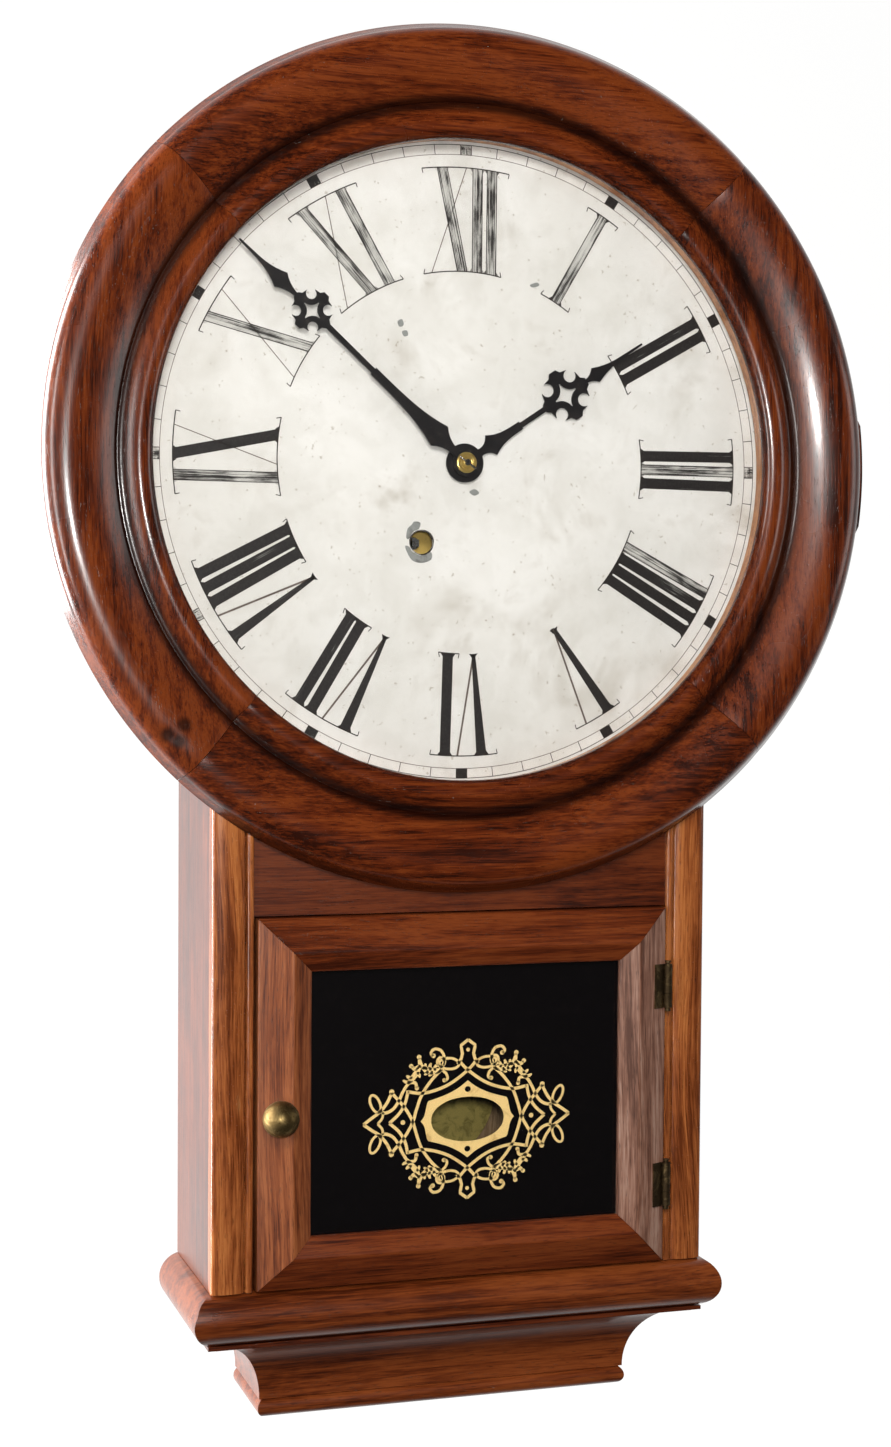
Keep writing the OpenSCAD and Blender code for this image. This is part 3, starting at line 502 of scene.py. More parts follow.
class Shop:
    """Every finish that the clock needs, made once and handed out by name."""

    def __init__(self, centre: Vector, quirk: float, dents: tuple[Point, ...]) -> None:
        """Makes the finishes.

        Args:
            centre: The dial's centre.
            quirk: Radius of the bezel's quirk.
            dents: Where the bezel is dented, as x and z.
        """
        ring = dict(groove=quirk, ring_centre=centre.z)
        bezel_x = Wood("bezel_mahogany", **MAHOGANY, rough=0.27, seed=1.7, **ring)
        bezel_z = Wood("bezel_mahogany", **MAHOGANY, rough=0.27, seed=5.1, dents=dents, **ring)
        case = Wood("case_mahogany", (0.024, 0.0042, 0.0013), (0.074, 0.0130, 0.0030), (0.125, 0.026, 0.0062),
                    rough=0.34, seed=9.3)
        column = Wood("column_varnish", (0.10, 0.022, 0.005), (0.25, 0.068, 0.017), (0.40, 0.135, 0.036),
                      rough=0.24, coat=0.6, seed=3.3)
        door = Wood("door_mahogany", (0.036, 0.0060, 0.0015), (0.105, 0.0185, 0.0038), (0.170, 0.037, 0.008),
                    rough=0.32, seed=12.9)
        base = Wood("base_mahogany", (0.046, 0.008, 0.002), (0.128, 0.026, 0.0055), (0.205, 0.049, 0.011),
                    rough=0.3, seed=15.4)
        plain = Wood("plain_pine", (0.20, 0.115, 0.05), (0.38, 0.24, 0.12), (0.50, 0.345, 0.19),
                     rough=0.6, coat=0.0, seed=7.7)
        lining = Wood("glazing_maple", (0.26, 0.09, 0.03), (0.46, 0.19, 0.07), (0.60, 0.28, 0.11),
                      rough=0.38, coat=0.3, seed=2.2)
        self.bezel_x, self.bezel_z = bezel_x.make(Grain.X), bezel_z.make(Grain.Z)
        self.case = {grain: case.make(grain) for grain in Grain}
        self.column = column.make(Grain.Z)
        self.base_x = base.make(Grain.X)
        self.door_x = door.make(Grain.X)
        # painted light: the stiles get lighter copies of the door wood; the left one is warmer where it catches
        # the light from the left, and the right one is paler for the reflected sheen on it, partly worn haze
        self.warm_stile = Wood("stile_mahogany", (0.060, 0.012, 0.003), (0.165, 0.042, 0.012),
                               (0.27, 0.085, 0.028), rough=0.36, seed=11.1).make(Grain.Z)
        self.reflection_and_wear_stile = Wood("reflection_and_wear_stile", (0.085, 0.030, 0.016), (0.225, 0.105, 0.068),
                                   (0.36, 0.225, 0.17), rough=0.42, coat=0.15, seed=13.3).make(Grain.Z)
        self.plain_x, self.plain_z = plain.make(Grain.X), plain.make(Grain.Z)
        self.lining = lining.make(Grain.Z)
        brass, brown = (0.62, 0.41, 0.13), (0.10, 0.062, 0.022)
        self.aged_brass = Metal("aged_brass", (0.40, 0.285, 0.115), brown, 0.33, 0.75).make()
        self.dark_brass = Metal("dark_brass", (0.23, 0.16, 0.075), (0.05, 0.032, 0.018), 0.42, 0.8).make()
        self.plate_brass = Metal("satin_brass", (0.80, 0.56, 0.16), brown, 0.34, 0.2, metallic=0.45).make()
        self.wheel_brass = Metal("wheel_brass", (0.68, 0.46, 0.15), brown, 0.24, 0.2).make()
        self.bright_brass = Metal("bright_brass", (0.86, 0.62, 0.20), brown, 0.3, 0.1, metallic=0.85).make()
        self.bob_brass = Metal("bob_brass", (0.72, 0.58, 0.17), (0.34, 0.27, 0.07), 0.42, 0.45,
                               metallic=0.25).make()
        self.steel = Metal("polished_steel", (0.55, 0.55, 0.56), (0.10, 0.085, 0.07), 0.24, 0.3).make()
        self.zinc = Metal("dull_zinc", (0.30, 0.31, 0.30), (0.17, 0.17, 0.165), 0.55, 0.4, metallic=0.2).make()
        self.black = Paint("black_japan", (0.012, 0.011, 0.012), (0.055, 0.042, 0.038)).make()
        self.backing = Paint("black_backing", (0.0028, 0.0020, 0.0024), (0.006, 0.004, 0.0045), 0.5,
                             0.06).make()
        self.gold = Metal("gilt_stencil", (0.98, 0.72, 0.31), (0.70, 0.46, 0.17), 0.42, 0.25,
                          metallic=0.0).make()
        self.paper = AgedPaper().make()
        self.solid_ink = WornInk("solid_ink", 0.0).make()
        self.faded_ink = WornInk("faded_ink", 0.36).make()
        self.rubbed_ink = WornInk("rubbed_ink", 0.52).make()
        self.line_ink = Paint("line_ink", (0.022, 0.016, 0.013), (0.13, 0.10, 0.08), 0.6).make()
        self.faint_ink = Paint("faint_ink", (0.12, 0.09, 0.075), (0.34, 0.28, 0.24), 0.6).make()
        self.rod_birch = Wood("rod_birch", (0.36, 0.22, 0.10), (0.55, 0.38, 0.20), (0.66, 0.49, 0.28),
                                rough=0.5, coat=0.1, seed=4.4).make(Grain.Z)
        self.studio = self.studio_paper()
        self.dial_glass = ClearGlass("dial_glass").make()
        self.door_glass = ClearGlass("tablet_glass").make()

    def studio_paper(self) -> bpy.types.Material:
        """The stage's evenly lit white paper."""
        s = Surface("studio_paper")
        tooth = s.noise(s.place, 300, 2)
        glow = s.blend((0.93, 0.93, 0.925), (0.96, 0.96, 0.955), tooth)
        return s.finish({"Base Color": s.blend((0.10, 0.10, 0.10), (0.12, 0.12, 0.12), tooth),
                         "Roughness": tooth * 0.1 + 0.85, "Emission Color": glow, "Emission Strength": 0.97})


# ---- shaping --------------------------------------------------------------------------


def mesh_object(name: str, points: Sequence[Any], faces: Sequence[Sequence[int]], material: bpy.types.Material,
                smooth: bool = True, uvs: Sequence[Point] = ()) -> bpy.types.Object:
    """Makes a mesh object, with its points welded unless they carry UVs.

    Args:
        name: The object's name.
        points: Its vertices, in metres.
        faces: Its faces, as vertex numbers.
        material: Its material.
        smooth: Whether its faces are shaded smooth.
        uvs: A UV for each vertex.

    Returns:
        The object, linked to the scene.
    """
    mesh = bpy.data.meshes.new(name)
    mesh.from_pydata([tuple(p) for p in points], [], [tuple(f) for f in faces])
    if uvs:
        layer = mesh.uv_layers.new(name="UVMap")
        for loop in mesh.loops:
            layer.data[loop.index].uv = uvs[loop.vertex_index]
    else:
        mesh.validate()
    bm = bmesh.new()
    bm.from_mesh(mesh)
    if not uvs:
        bmesh.ops.remove_doubles(bm, verts=bm.verts, dist=1e-7)
    bmesh.ops.recalc_face_normals(bm, faces=bm.faces)
    bm.to_mesh(mesh)
    bm.free()
    mesh.shade_smooth() if smooth else mesh.shade_flat()
    if smooth:
        mesh.set_sharp_from_angle(angle=math.radians(38))
    mesh.materials.append(material)
    made = bpy.data.objects.new(name, mesh)
    bpy.context.scene.collection.objects.link(made)
    return made


def spot(centre: Vector, x: float, depth: float, z: float) -> Spot:
    """The scene's point for millimetres across, out from the wall and up from the dial's centre."""
    return (x * MM + centre.x, -depth * MM, z * MM + centre.z)


def arc(centre: Point, radius: Point, start: float, end: float, steps: int) -> list[Point]:
    """Points on an elliptical arc.

    Args:
        centre: The arc's centre.
        radius: Its two radii.
        start: Angle of its first point, in degrees.
        end: Angle of its last point.
        steps: How many spans it has.

    Returns:
        The points.
    """
    turns = (math.radians(start + (end - start) * k / steps) for k in range(steps + 1))
    return [(centre[0] + radius[0] * math.cos(t), centre[1] + radius[1] * math.sin(t)) for t in turns]


def soften(outline: Sequence[Point], sizes: dict[int, float]) -> list[Point]:
    """Rounds off chosen corners of a closed outline.

    Args:
        outline: The outline's corners.
        sizes: How far back from each chosen corner its rounding starts.

    Returns:
        The outline with a short curve at each of those corners.
    """
    made: list[Point] = []
    for k, corner in enumerate(outline):
        back = sizes.get(k, 0)
        if not back:
            made.append(corner)
            continue
        here = Vector(corner)
        start = here + (Vector(outline[k - 1]) - here).normalized() * back
        end = here + (Vector(outline[(k + 1) % len(outline)]) - here).normalized() * back
        for t in (0.0, 0.25, 0.5, 0.75, 1.0):
            made.append(tuple(start * (1 - t) ** 2 + here * (2 * t * (1 - t)) + end * t * t))
    return made


@dataclass
class Sweep:
    """A closed section swept through a row of stations."""

    name: str
    section: Sequence[Point]
    material: bpy.types.Material

    def build(self, stations: int, place: Callable[[int, Point], Sequence[float]]) -> bpy.types.Object:
        """Makes the swept solid.

        Args:
            stations: How many copies of the section there are.
            place: Gives the point of a section's corner at a station.

        Returns:
            The object.
        """
        count = len(self.section)
        points = [place(k, corner) for k in range(stations) for corner in self.section]
        faces = [
            (k * count + i, k * count + (i + 1) % count, (k + 1) * count + (i + 1) % count, (k + 1) * count + i)
            for k in range(stations - 1)
            for i in range(count)
        ]
        faces.append(list(range(count))[::-1])
        faces.append(list(range((stations - 1) * count, stations * count)))
        return mesh_object(self.name, points, faces, self.material)


def fit(made: bpy.types.Object, body: str, slot: str, *nodes: str) -> bpy.types.Object:
    """Hands a piece to the CAD body that it moves with.

    Args:
        made: The piece.
        body: The body that it rides on.
        slot: The record's material slot; not used.
        nodes: The CAD nodes that it stands for.

    Returns:
        The piece.
    """
    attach(made, body)
    if nodes:
        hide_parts(*nodes)
    log.info("%s rides on %s", made.name, body)
    return made


# ---- the round bezel ------------------------------------------------------------------


@dataclass
class Bezel:
    """The round door: four wooden segments on a circle, each end a glued joint.

    Sizes are in millimetres; the section is a radius and a distance from the wall.
    """

    centre: Vector
    outer: float = 204.95
    arris: Point = (202.3, 92.1)
    crest: Point = (190.0, 99.2)
    quirk: Point = (167.6, 89.2)
    bead: Point = (157.55, 92.8)
    lip: Point = (151.35, 87.7)
    back: float = 86.9
    glass: float = 86.2
    rebate: float = 156.8
    tongue: Point = (159.2, 79.0)
    joint: float = 47.1
    glue: float = 0.25
    beds: tuple[Point, ...] = ((198.05, 2.5), (185.85, 0.9))
    bed_reach: float = 26.5
    chips: tuple[tuple[float, float, float, float], ...] = (
        (-146.0, -128.8, 0.8, 2.4), (-141.2, -131.6, 0.5, 1.7), (-138.6, -124.2, 0.4, 1.4))

    def section(self) -> list[Point]:
        """The moulding's outline."""
        arris, crest, quirk, bead, lip = self.arris, self.crest, self.quirk, self.bead, self.lip
        lift = crest[1] - arris[1] + 1.2
        made = [(self.outer, self.back), (self.outer - 0.3, self.back + 0.5)]
        made += [(self.outer - 0.5 - 2.0 * t, self.back + 0.8 + 3.9 * t) for t in (0.0, 0.5, 1.0)]
        made += arc((crest[0], arris[1] - 1.2), (arris[0] - crest[0], lift), 8, 90, 12)
        span, drop = crest[0] - quirk[0] - 0.6, crest[1] - self.back - 3.0
        made += [(crest[0] - span * t, crest[1] - drop * t ** 1.6) for t in (k / 14 for k in range(1, 15))]
        made += [(quirk[0] + 0.3, self.back + 2.1), (quirk[0] - 0.3, self.back + 2.15)]
        rise = bead[1] - self.back - 2.3
        for t in (k / 10 for k in range(11)):
            swell = (1 - math.cos(math.pi * t)) / 2
            made.append((quirk[0] - 0.5 - (quirk[0] - 0.5 - bead[0]) * t, self.back + 2.3 + rise * swell))
        made += arc((bead[0], lip[1]), (bead[0] - lip[0], bead[1] - lip[1]), 97, 180, 9)
        made += [(lip[0], self.glass), (self.rebate, self.glass), (self.rebate, self.tongue[1]),
                 (self.tongue[0], self.tongue[1]), (self.tongue[0], self.back)]
        made += [(inner + step, self.back) for inner, _ in reversed(self.beds) for step in (-0.05, 0.05)]
        return made

    def bedded(self, r: float, x: float, z: float, depth: float) -> float:
        """Lifts the back of the right-hand segment clear of the hinges that are let into it."""
        if x > 0 and abs(z) < self.bed_reach:
            for inner, deep in self.beds:
                if r > inner:
                    return max(depth, self.back + deep)
        return depth

    def dented(self, x: float, z: float, depth: float) -> float:
        """How far a point of the surface is knocked back."""
        if depth < self.quirk[1] - 1:
            return 0.0
        return sum(deep * math.exp(-((x - cx) ** 2 + (z - cz) ** 2) / (wide * wide))
                   for cx, cz, deep, wide in self.chips)

    def build(self, shop: "Shop") -> None:
        """Builds the four segments.

        Args:
            shop: The finishes.
        """
        section = self.section()
        gap = math.degrees(self.glue / self.crest[0])
        for k, side in enumerate(("top", "left", "bottom", "right")):
            grain = shop.bezel_x if k % 2 == 0 else shop.bezel_z
            start, end = self.joint + 90 * k + gap / 2, self.joint + 90 * (k + 1) - gap / 2
            stations = 97

            def place(station: int, corner: Point) -> Spot:
                """Places a corner of the section, with the joint's edges worn round."""
                turn = math.radians(start + (end - start) * station / (stations - 1))
                x, z = corner[0] * math.cos(turn), corner[0] * math.sin(turn)
                ends = min(station, stations - 1 - station)
                worn = (0.35, 0.06)[ends] if ends < 2 and corner[1] > self.quirk[1] - 3 else 0.0
                depth = self.bedded(corner[0], x, z, corner[1] - worn - self.dented(x, z, corner[1]))
                return spot(self.centre, x, depth, z)

            made = Sweep(f"bezel_segment_{side}", section, grain).build(stations, place)
            fit(made, "bezel_door", "bezel_wood", f"bezel_{side}")


# ---- the trunk and base ---------------------------------------------------------------


@dataclass
class Column:
    """One of the moulded columns at the trunk's front corners."""

    side: int
    centre: Vector
    inner: float = 103.1
    outer: float = 122.9
    edge: float = 84.4
    back: float = 78.0
    foot: float = 390.2
    seat: float = 197.3

    def section(self) -> list[Point]:
        """The column's outline: a narrow bead, a quirk and a broad round."""
        bead, quirk = 3.6, 0.6
        first = self.inner + bead + quirk
        wide = self.outer - first
        made = [(self.inner, self.back)]
        made += arc((self.inner + bead / 2, self.edge + 0.1), (bead / 2, 1.7), 180, 0, 12)
        made += [(self.inner + bead + quirk / 2, self.edge - 0.8)]
        made += arc((first + wide / 2, self.edge), (wide / 2, 2.1), 180, 0, 20)
        made += [(self.outer, self.back)]
        return made

    def build(self, shop: "Shop") -> None:
        """Builds the column, its head cut to the circle of the dial ring."""
        stations = 41

        def place(station: int, corner: Point) -> Spot:
            """Places a corner of the section, higher up at each station."""
            top = -math.sqrt(self.seat ** 2 - corner[0] ** 2)
            z = -self.foot + (top + self.foot) * station / (stations - 1)
            return spot(self.centre, self.side * corner[0], corner[1], z)

        name = "left" if self.side < 0 else "right"
        made = Sweep(f"{name}_column_moulding", self.section(), shop.column).build(stations, place)
        fit(made, "root", "column_wood", f"{name}_column")


@dataclass
class Moulding:
    """A moulding that runs across the base's front and returns to the wall on both sides.

    Its section is a distance in from the front and a drop below its top.
    """

    name: str
    node: str
    half: float
    front: float
    top: float
    section: Sequence[Point]
    finish: bpy.types.Material
    centre: Vector
    chip: float = 0.0

    def build(self) -> None:
        """Builds the front run and its two returns as one mitred sweep."""
        fine = 24

        def place(station: int, corner: Point) -> Spot:
            """Places a corner of the section on the wall, along a side or along the front."""
            inward, drop = corner
            across, out = self.half - inward, self.front - inward
            if station == 0 or station == fine + 4:
                side, out = (-1 if station == 0 else 1), 0.0
            elif station == 1 or station == fine + 3:
                side = -1 if station == 1 else 1
            else:
                side = -1 + 2 * (station - 2) / fine
            x = across * side
            if self.chip and x < -self.half + 7 and out > self.front - 9:
                knock = self.chip * max(0.0, 1 - abs(drop - 8) / 5)
                x, out = x + knock, out - knock
            return spot(self.centre, x, out, self.top - drop)

        made = Sweep(self.name, self.section, self.finish).build(fine + 5, place)
        fit(made, "root", "base_wood", self.node)


@dataclass
class Base:
    """The moulded base below the trunk: half-round, cove and foot bead.

    Each is half its width, its reach from the wall, how far its top is below the dial's centre,
    and the radius or depth of its curve.
    """

    centre: Vector
    torus: tuple[float, ...] = (132.05, 92.65, 390.2, 12.25)
    cove: tuple[float, ...] = (120.05, 82.65, 416.6, 26.6)
    foot: tuple[float, ...] = (94.35, 57.15, 450.6, 4.65)
    rise: float = 33.2
    land: float = 0.8
    edge: float = 0.3
    torus_run: float = 26.0
    run: float = 26.55
    chip: float = 1.3

    def rounded(self, radius: float, run: float, steps: int) -> list[Point]:
        """The outline of a half-round, which goes back by its run."""
        nose = [(radius - x, radius - z) for x, z in arc((0, 0), (radius, radius), 90, -90, steps)]
        return [(run, 0.0), *nose, (run, 2 * radius)]

    def hollow(self) -> list[Point]:
        """The cove's outline, a small arris above a hollow."""
        sweep = arc((0, self.rise + self.land), (self.cove[3], self.rise), -90, 0, 20)
        return [(self.run, 0.0), (self.edge, 0.0), (0.0, self.edge), *((min(x, self.run), z) for x, z in sweep)]

    def build(self, shop: "Shop") -> None:
        """Builds the base's three mouldings.

        Args:
            shop: The finishes.
        """
        torus = self.rounded(self.torus[3], self.torus_run, 22)
        foot = self.rounded(self.foot[3], self.run, 14)
        for name, node, (half, front, drop, _), outline, chip in (
            ("half_round_moulding", "base_torus", self.torus, torus, self.chip),
            ("cove_moulding", "base_cove", self.cove, self.hollow(), 0.0),
            ("foot_bead", "base_foot", self.foot, foot, 0.0),
        ):
            Moulding(name, node, half, front, -drop, outline, shop.base_x, self.centre, chip).build()


# ---- the trunk door -------------------------------------------------------------------


@dataclass
class TrunkDoor:
    """The pendulum door: four mitred members round a black glass with a gilt ornament."""

    centre: Vector
    half: float = 101.9
    top: float = -214.8
    bottom: float = -389.6
    member: float = 25.1
    edge: float = 88.2
    arris: Point = (15.8, 95.4)
    lip: float = 91.0
    glass: float = 88.5
    thick: float = 2.0
    back: float = 74.0
    rebate: float = 4.7
    bob: Point = (1.0, -314.0)
    play: float = 0.3
    pane_gap: float = 0.4
    paint_gap: float = 0.14

    def section(self) -> list[Point]:
        """The members' outline as a distance in and a distance from the wall."""
        corners = [(0.0, self.back), (0.0, self.edge), self.arris, (self.member, self.lip),
                   (self.member, self.glass), (self.member - self.rebate, self.glass),
                   (self.member - self.rebate, self.back)]
        return soften(corners, {1: 0.7, 2: 1.1, 3: 0.9})

    def build(self, shop: "Shop") -> None:
        """Builds the members, the glass, its paint and its gilding.

        Args:
            shop: The finishes.
        """
        section = self.section()
        wide, tall = self.half, (self.top - self.bottom) / 2
        middle = (self.top + self.bottom) / 2
        sides = {
            "left_stile": (shop.warm_stile, lambda s, i: (-wide + i, middle + (tall - i) * s)),
            # the right stile's paler wood is a painted reflection, partly worn haze
            "right_stile": (shop.reflection_and_wear_stile, lambda s, i: (wide - i, middle + (tall - i) * s)),
            "top_rail": (shop.door_x, lambda s, i: ((wide - i) * s, middle + tall - i)),
            "bottom_rail": (shop.door_x, lambda s, i: ((wide - i) * s, middle - tall + i)),
        }
        stations = 9
        for side, (finish, where) in sides.items():

            def place(station: int, corner: Point) -> Spot:
                """Places a corner of the section along the member, with a hair's gap at each mitre."""
                share = (-1 + 2 * station / (stations - 1)) * (1 - 0.08 / tall)
                x, z = where(share, corner[0])
                return spot(self.centre, x, corner[1], z)

            made = Sweep(f"door_member_{side}", section, finish).build(stations, place)
            fit(made, "trunk_door", "door_wood", f"door_{side}")
        self.tablet(shop)

    def tablet(self, shop: "Shop") -> None:
        """Builds the clear glass, the black paint behind it and the gilding on top of the paint."""
        inset = self.member - self.rebate + self.play
        half, low, high = self.half - inset, self.bottom + inset, self.top - inset
        corners = [(-half, low), (half, low), (half, high), (-half, high)]
        section = soften(corners, {k: 1.0 for k in range(4)})

        faces = (self.glass, self.glass - self.thick + self.pane_gap)

        def place(station: int, corner: Point) -> Spot:
            """Places a corner of the pane on its front or its back."""
            return spot(self.centre, corner[0], faces[station], corner[1])

        glass = Sweep("tablet_pane", section, shop.door_glass).build(len(faces), place)
        fit(glass, "trunk_door", "clear_glass", "door_glass")
        paint_at = self.glass - self.thick + self.paint_gap
        across, bob = self.bob
        oval = [(across + x, bob + z) for x, z in superellipse(19.2, 11.6, 2.1, 72)]
        made = Flat(self.centre, paint_at).plate("tablet_paint", corners, [oval], shop.backing, 0.06)
        fit(made, "trunk_door", "black_glass")
        Gilding(self.centre, self.bob, paint_at + 0.1).build(shop)


# ---- flat work: printing and gilding --------------------------------------------------


def superellipse(wide: float, tall: float, power: float, steps: int) -> list[Point]:
    """Points on an oval, squarer at the corners as the power grows past 2."""
    made = []
    for k in range(steps):
        c, s = math.cos(2 * math.pi * k / steps), math.sin(2 * math.pi * k / steps)
        made.append(tuple(math.copysign(size * abs(way) ** (2 / power), way)
                          for size, way in ((wide, c), (tall, s))))
    return made


def curve(points: Sequence[Point], steps: int = 10, closed: bool = False) -> list[Point]:
    """A smooth line through points.

    Args:
        points: The points.
        steps: How many spans there are between two of them.
        closed: Whether the line comes back to its start.

    Returns:
        The smooth line.
    """
    count = len(points)
    pick = (lambda k: points[k % count]) if closed else (lambda k: points[max(0, min(count - 1, k))])
    made = []
    for k in range(count if closed else count - 1):
        p, q, r, s = (Vector(pick(k + j)) for j in (-1, 0, 1, 2))
        for t in (j / steps for j in range(steps)):
            made.append(tuple(0.5 * (2 * q + (r - p) * t + (2 * p - 5 * q + 4 * r - s) * t * t
                                     + (3 * q - p - 3 * r + s) * t ** 3)))
    if not closed:
        made.append(tuple(points[-1]))
    return made


@dataclass
class Flat:
    """Thin flat work on a plane that faces the viewer, at a distance from the wall."""

    centre: Vector
    depth: float

    def at(self, x: float, z: float) -> Spot:
        """The scene's point for a place on the plane."""
        return spot(self.centre, x, self.depth, z)

    def plate(self, name: str, outline: Sequence[Point], holes: Sequence[Sequence[Point]],
              material: bpy.types.Material, thick: float) -> bpy.types.Object:
        """Makes a thin plate with holes.

        Args:
            name: The object's name.
            outline: Its outer edge.
            holes: The edges of its holes.
            material: Its material.
            thick: Its thickness.

        Returns:
            The plate.
        """
        bm = bmesh.new()
        edges = []
        for loop in (outline, *holes):
            corners = [bm.verts.new(self.at(x, z)) for x, z in loop]
            edges += [bm.edges.new((corners[k - 1], corners[k])) for k in range(len(corners))]
        bmesh.ops.triangle_fill(bm, edges=edges, use_beauty=True, use_dissolve=False)
        mesh = bpy.data.meshes.new(name)
        bm.to_mesh(mesh)
        bm.free()
        points = [v.co[:] for v in mesh.vertices]
        faces = [tuple(p.vertices) for p in mesh.polygons]
        return self.thicken(name, points, faces, material, thick)

    def thicken(self, name: str, points: list[Any], faces: list[Any], material: bpy.types.Material,
                thick: float) -> bpy.types.Object:
        """Gives flat faces a thickness away from the wall, with walls round their edges."""
        count = len(points)
        front = [(x, y - thick * MM, z) for x, y, z in points]
        sides: dict[tuple[int, int], int] = {}
        for face in faces:
            for k in range(len(face)):
                a, b = face[k - 1], face[k]
                sides[(a, b)] = sides.get((a, b), 0) + 1
        walls = [(a, b, b + count, a + count) for (a, b) in sides if (b, a) not in sides]
        both = [tuple(reversed(f)) for f in faces] + [tuple(i + count for i in f) for f in faces] + walls
        return mesh_object(name, [*points, *front], both, material, smooth=False)


@dataclass
class Strokes:
    """Flat strokes that are gathered into one piece, each with its own UV strip."""

    flat: Flat

    def __post_init__(self) -> None:
        """Starts empty."""
        self.points: list[Any] = []
        self.faces: list[tuple[int, ...]] = []
        self.uvs: list[tuple[float, float]] = []
        self.count = 0

    def quad(self, corners: Sequence[Point], uvs: Sequence[Point] | None = None) -> None:
        """Adds a face with its corners' UVs."""
        start = len(self.points)
        self.points += [self.flat.at(x, z) for x, z in corners]
        self.faces.append(tuple(range(start, start + len(corners))))
        self.uvs += list(uvs or [(self.count * 1.7, 0.0)] * len(corners))

    def ribbon(self, line: Sequence[Point], width: Width, closed: bool = False) -> None:
        """Adds a stroke along a line.

        Args:
            line: Its middle.
            width: Its width, or a function of the share of its length.
            closed: Whether it comes back to its start.
        """
        if closed:
            line = [*line, line[0]]
        last = len(line) - 1
        rims: list[tuple[Point, Point]] = []
        for k, (x, z) in enumerate(line):
            before = line[last - 1] if closed and k == 0 else line[max(0, k - 1)]
            after = line[1] if closed and k == last else line[min(last, k + 1)]
            way = Vector((after[0] - before[0], after[1] - before[1]))
            if way.length < 1e-9:
                way = Vector((1, 0))
            way.normalize()
            half = (width(k / last) if callable(width) else width) / 2
            rims.append(((x - way.y * half, z + way.x * half), (x + way.y * half, z - way.x * half)))
        u = self.count * 1.7
        for k in range(last):
            (a, b), (c, d) = rims[k], rims[k + 1]
            s, t = k / last, (k + 1) / last
            self.quad((a, b, d, c), ((u, s), (u + 1, s), (u + 1, t), (u, t)))
        self.count += 1

    def bar(self, corners: Sequence[Point]) -> None:
        """Adds a four-cornered stroke, given as its inner left, outer left, outer right and inner right."""
        u = self.count * 1.7
        steps = 6
        (a, b, c, d) = (Vector(p) for p in corners)
        for k in range(steps):
            s, t = k / steps, (k + 1) / steps
            self.quad([tuple(a.lerp(b, s)), tuple(a.lerp(b, t)), tuple(d.lerp(c, t)), tuple(d.lerp(c, s))],
                      ((u, s), (u, t), (u + 1, t), (u + 1, s)))
        self.count += 1

    def disc(self, x: float, z: float, radius: float) -> None:
        """Adds a round spot."""
        self.quad([(x + px, z + pz) for px, pz in superellipse(radius, radius, 2, 20)])
        self.count += 1

    def make(self, name: str, material: bpy.types.Material, thick: float = 0.05) -> bpy.types.Object:
        """Makes the piece.

        Args:
            name: The object's name.
            material: Its material.
            thick: Its thickness.

        Returns:
            The piece, with a UV map.
        """
        count = len(self.points)
        front = [(x, y - thick * MM, z) for x, y, z in self.points]
        faces = [tuple(i + count for i in f) for f in self.faces]
        faces += [(face[k - 1], face[k], face[k] + count, face[k - 1] + count)
                  for face in self.faces for k in range(len(face))]
        uvs = [*self.uvs, *self.uvs]
        return mesh_object(name, [*self.points, *front], faces, material, smooth=False, uvs=uvs)


# ---- the dial -------------------------------------------------------------------------


class Print(Enum):
    """How much of a stroke's ink is left."""

    SOLID = "solid"
    FADED = "faded"
    RUBBED = "rubbed"


S, F, R = Print.SOLID, Print.FADED, Print.RUBBED


@dataclass
class Stroke:
    """A stroke of a numeral between the inner and outer serifs, as sideways offsets in mm."""

    outer: Point
    inner: Point
    ink: Print = S
    thin: bool = False
    weight: float = 1.0


def bars(starts: Sequence[float], inks: Sequence[Print], lean: float = 0.0,
         width: float = 4.75) -> list[Stroke]:
    """Upright strokes that start at the given offsets, leaning by a share of the offset inwards."""
    return [Stroke((x, x + width), (x * (1 - lean), x * (1 - lean) + width), ink)
            for x, ink in zip(starts, inks)]


def taper_line(outer: float, left: float, right: float) -> Stroke:
    """The heavy hairline of a V, from its outer offset to its two inner ones."""
    return Stroke((outer, outer + 0.9), (left, right), thin=True, weight=2.2)


def hairline(outer: float, inner: float) -> Stroke:
    """The hairline of an X or of the nine, from its outer offset to its inner one."""
    return Stroke((outer, outer + 1.0), (inner, inner + 1.0), thin=True)


@dataclass
class Numeral:
    """A numeral of the dial: its strokes and the widths of its two serif lines."""

    hour: int
    strokes: list[Stroke]
    outer: Point
    inner: Point


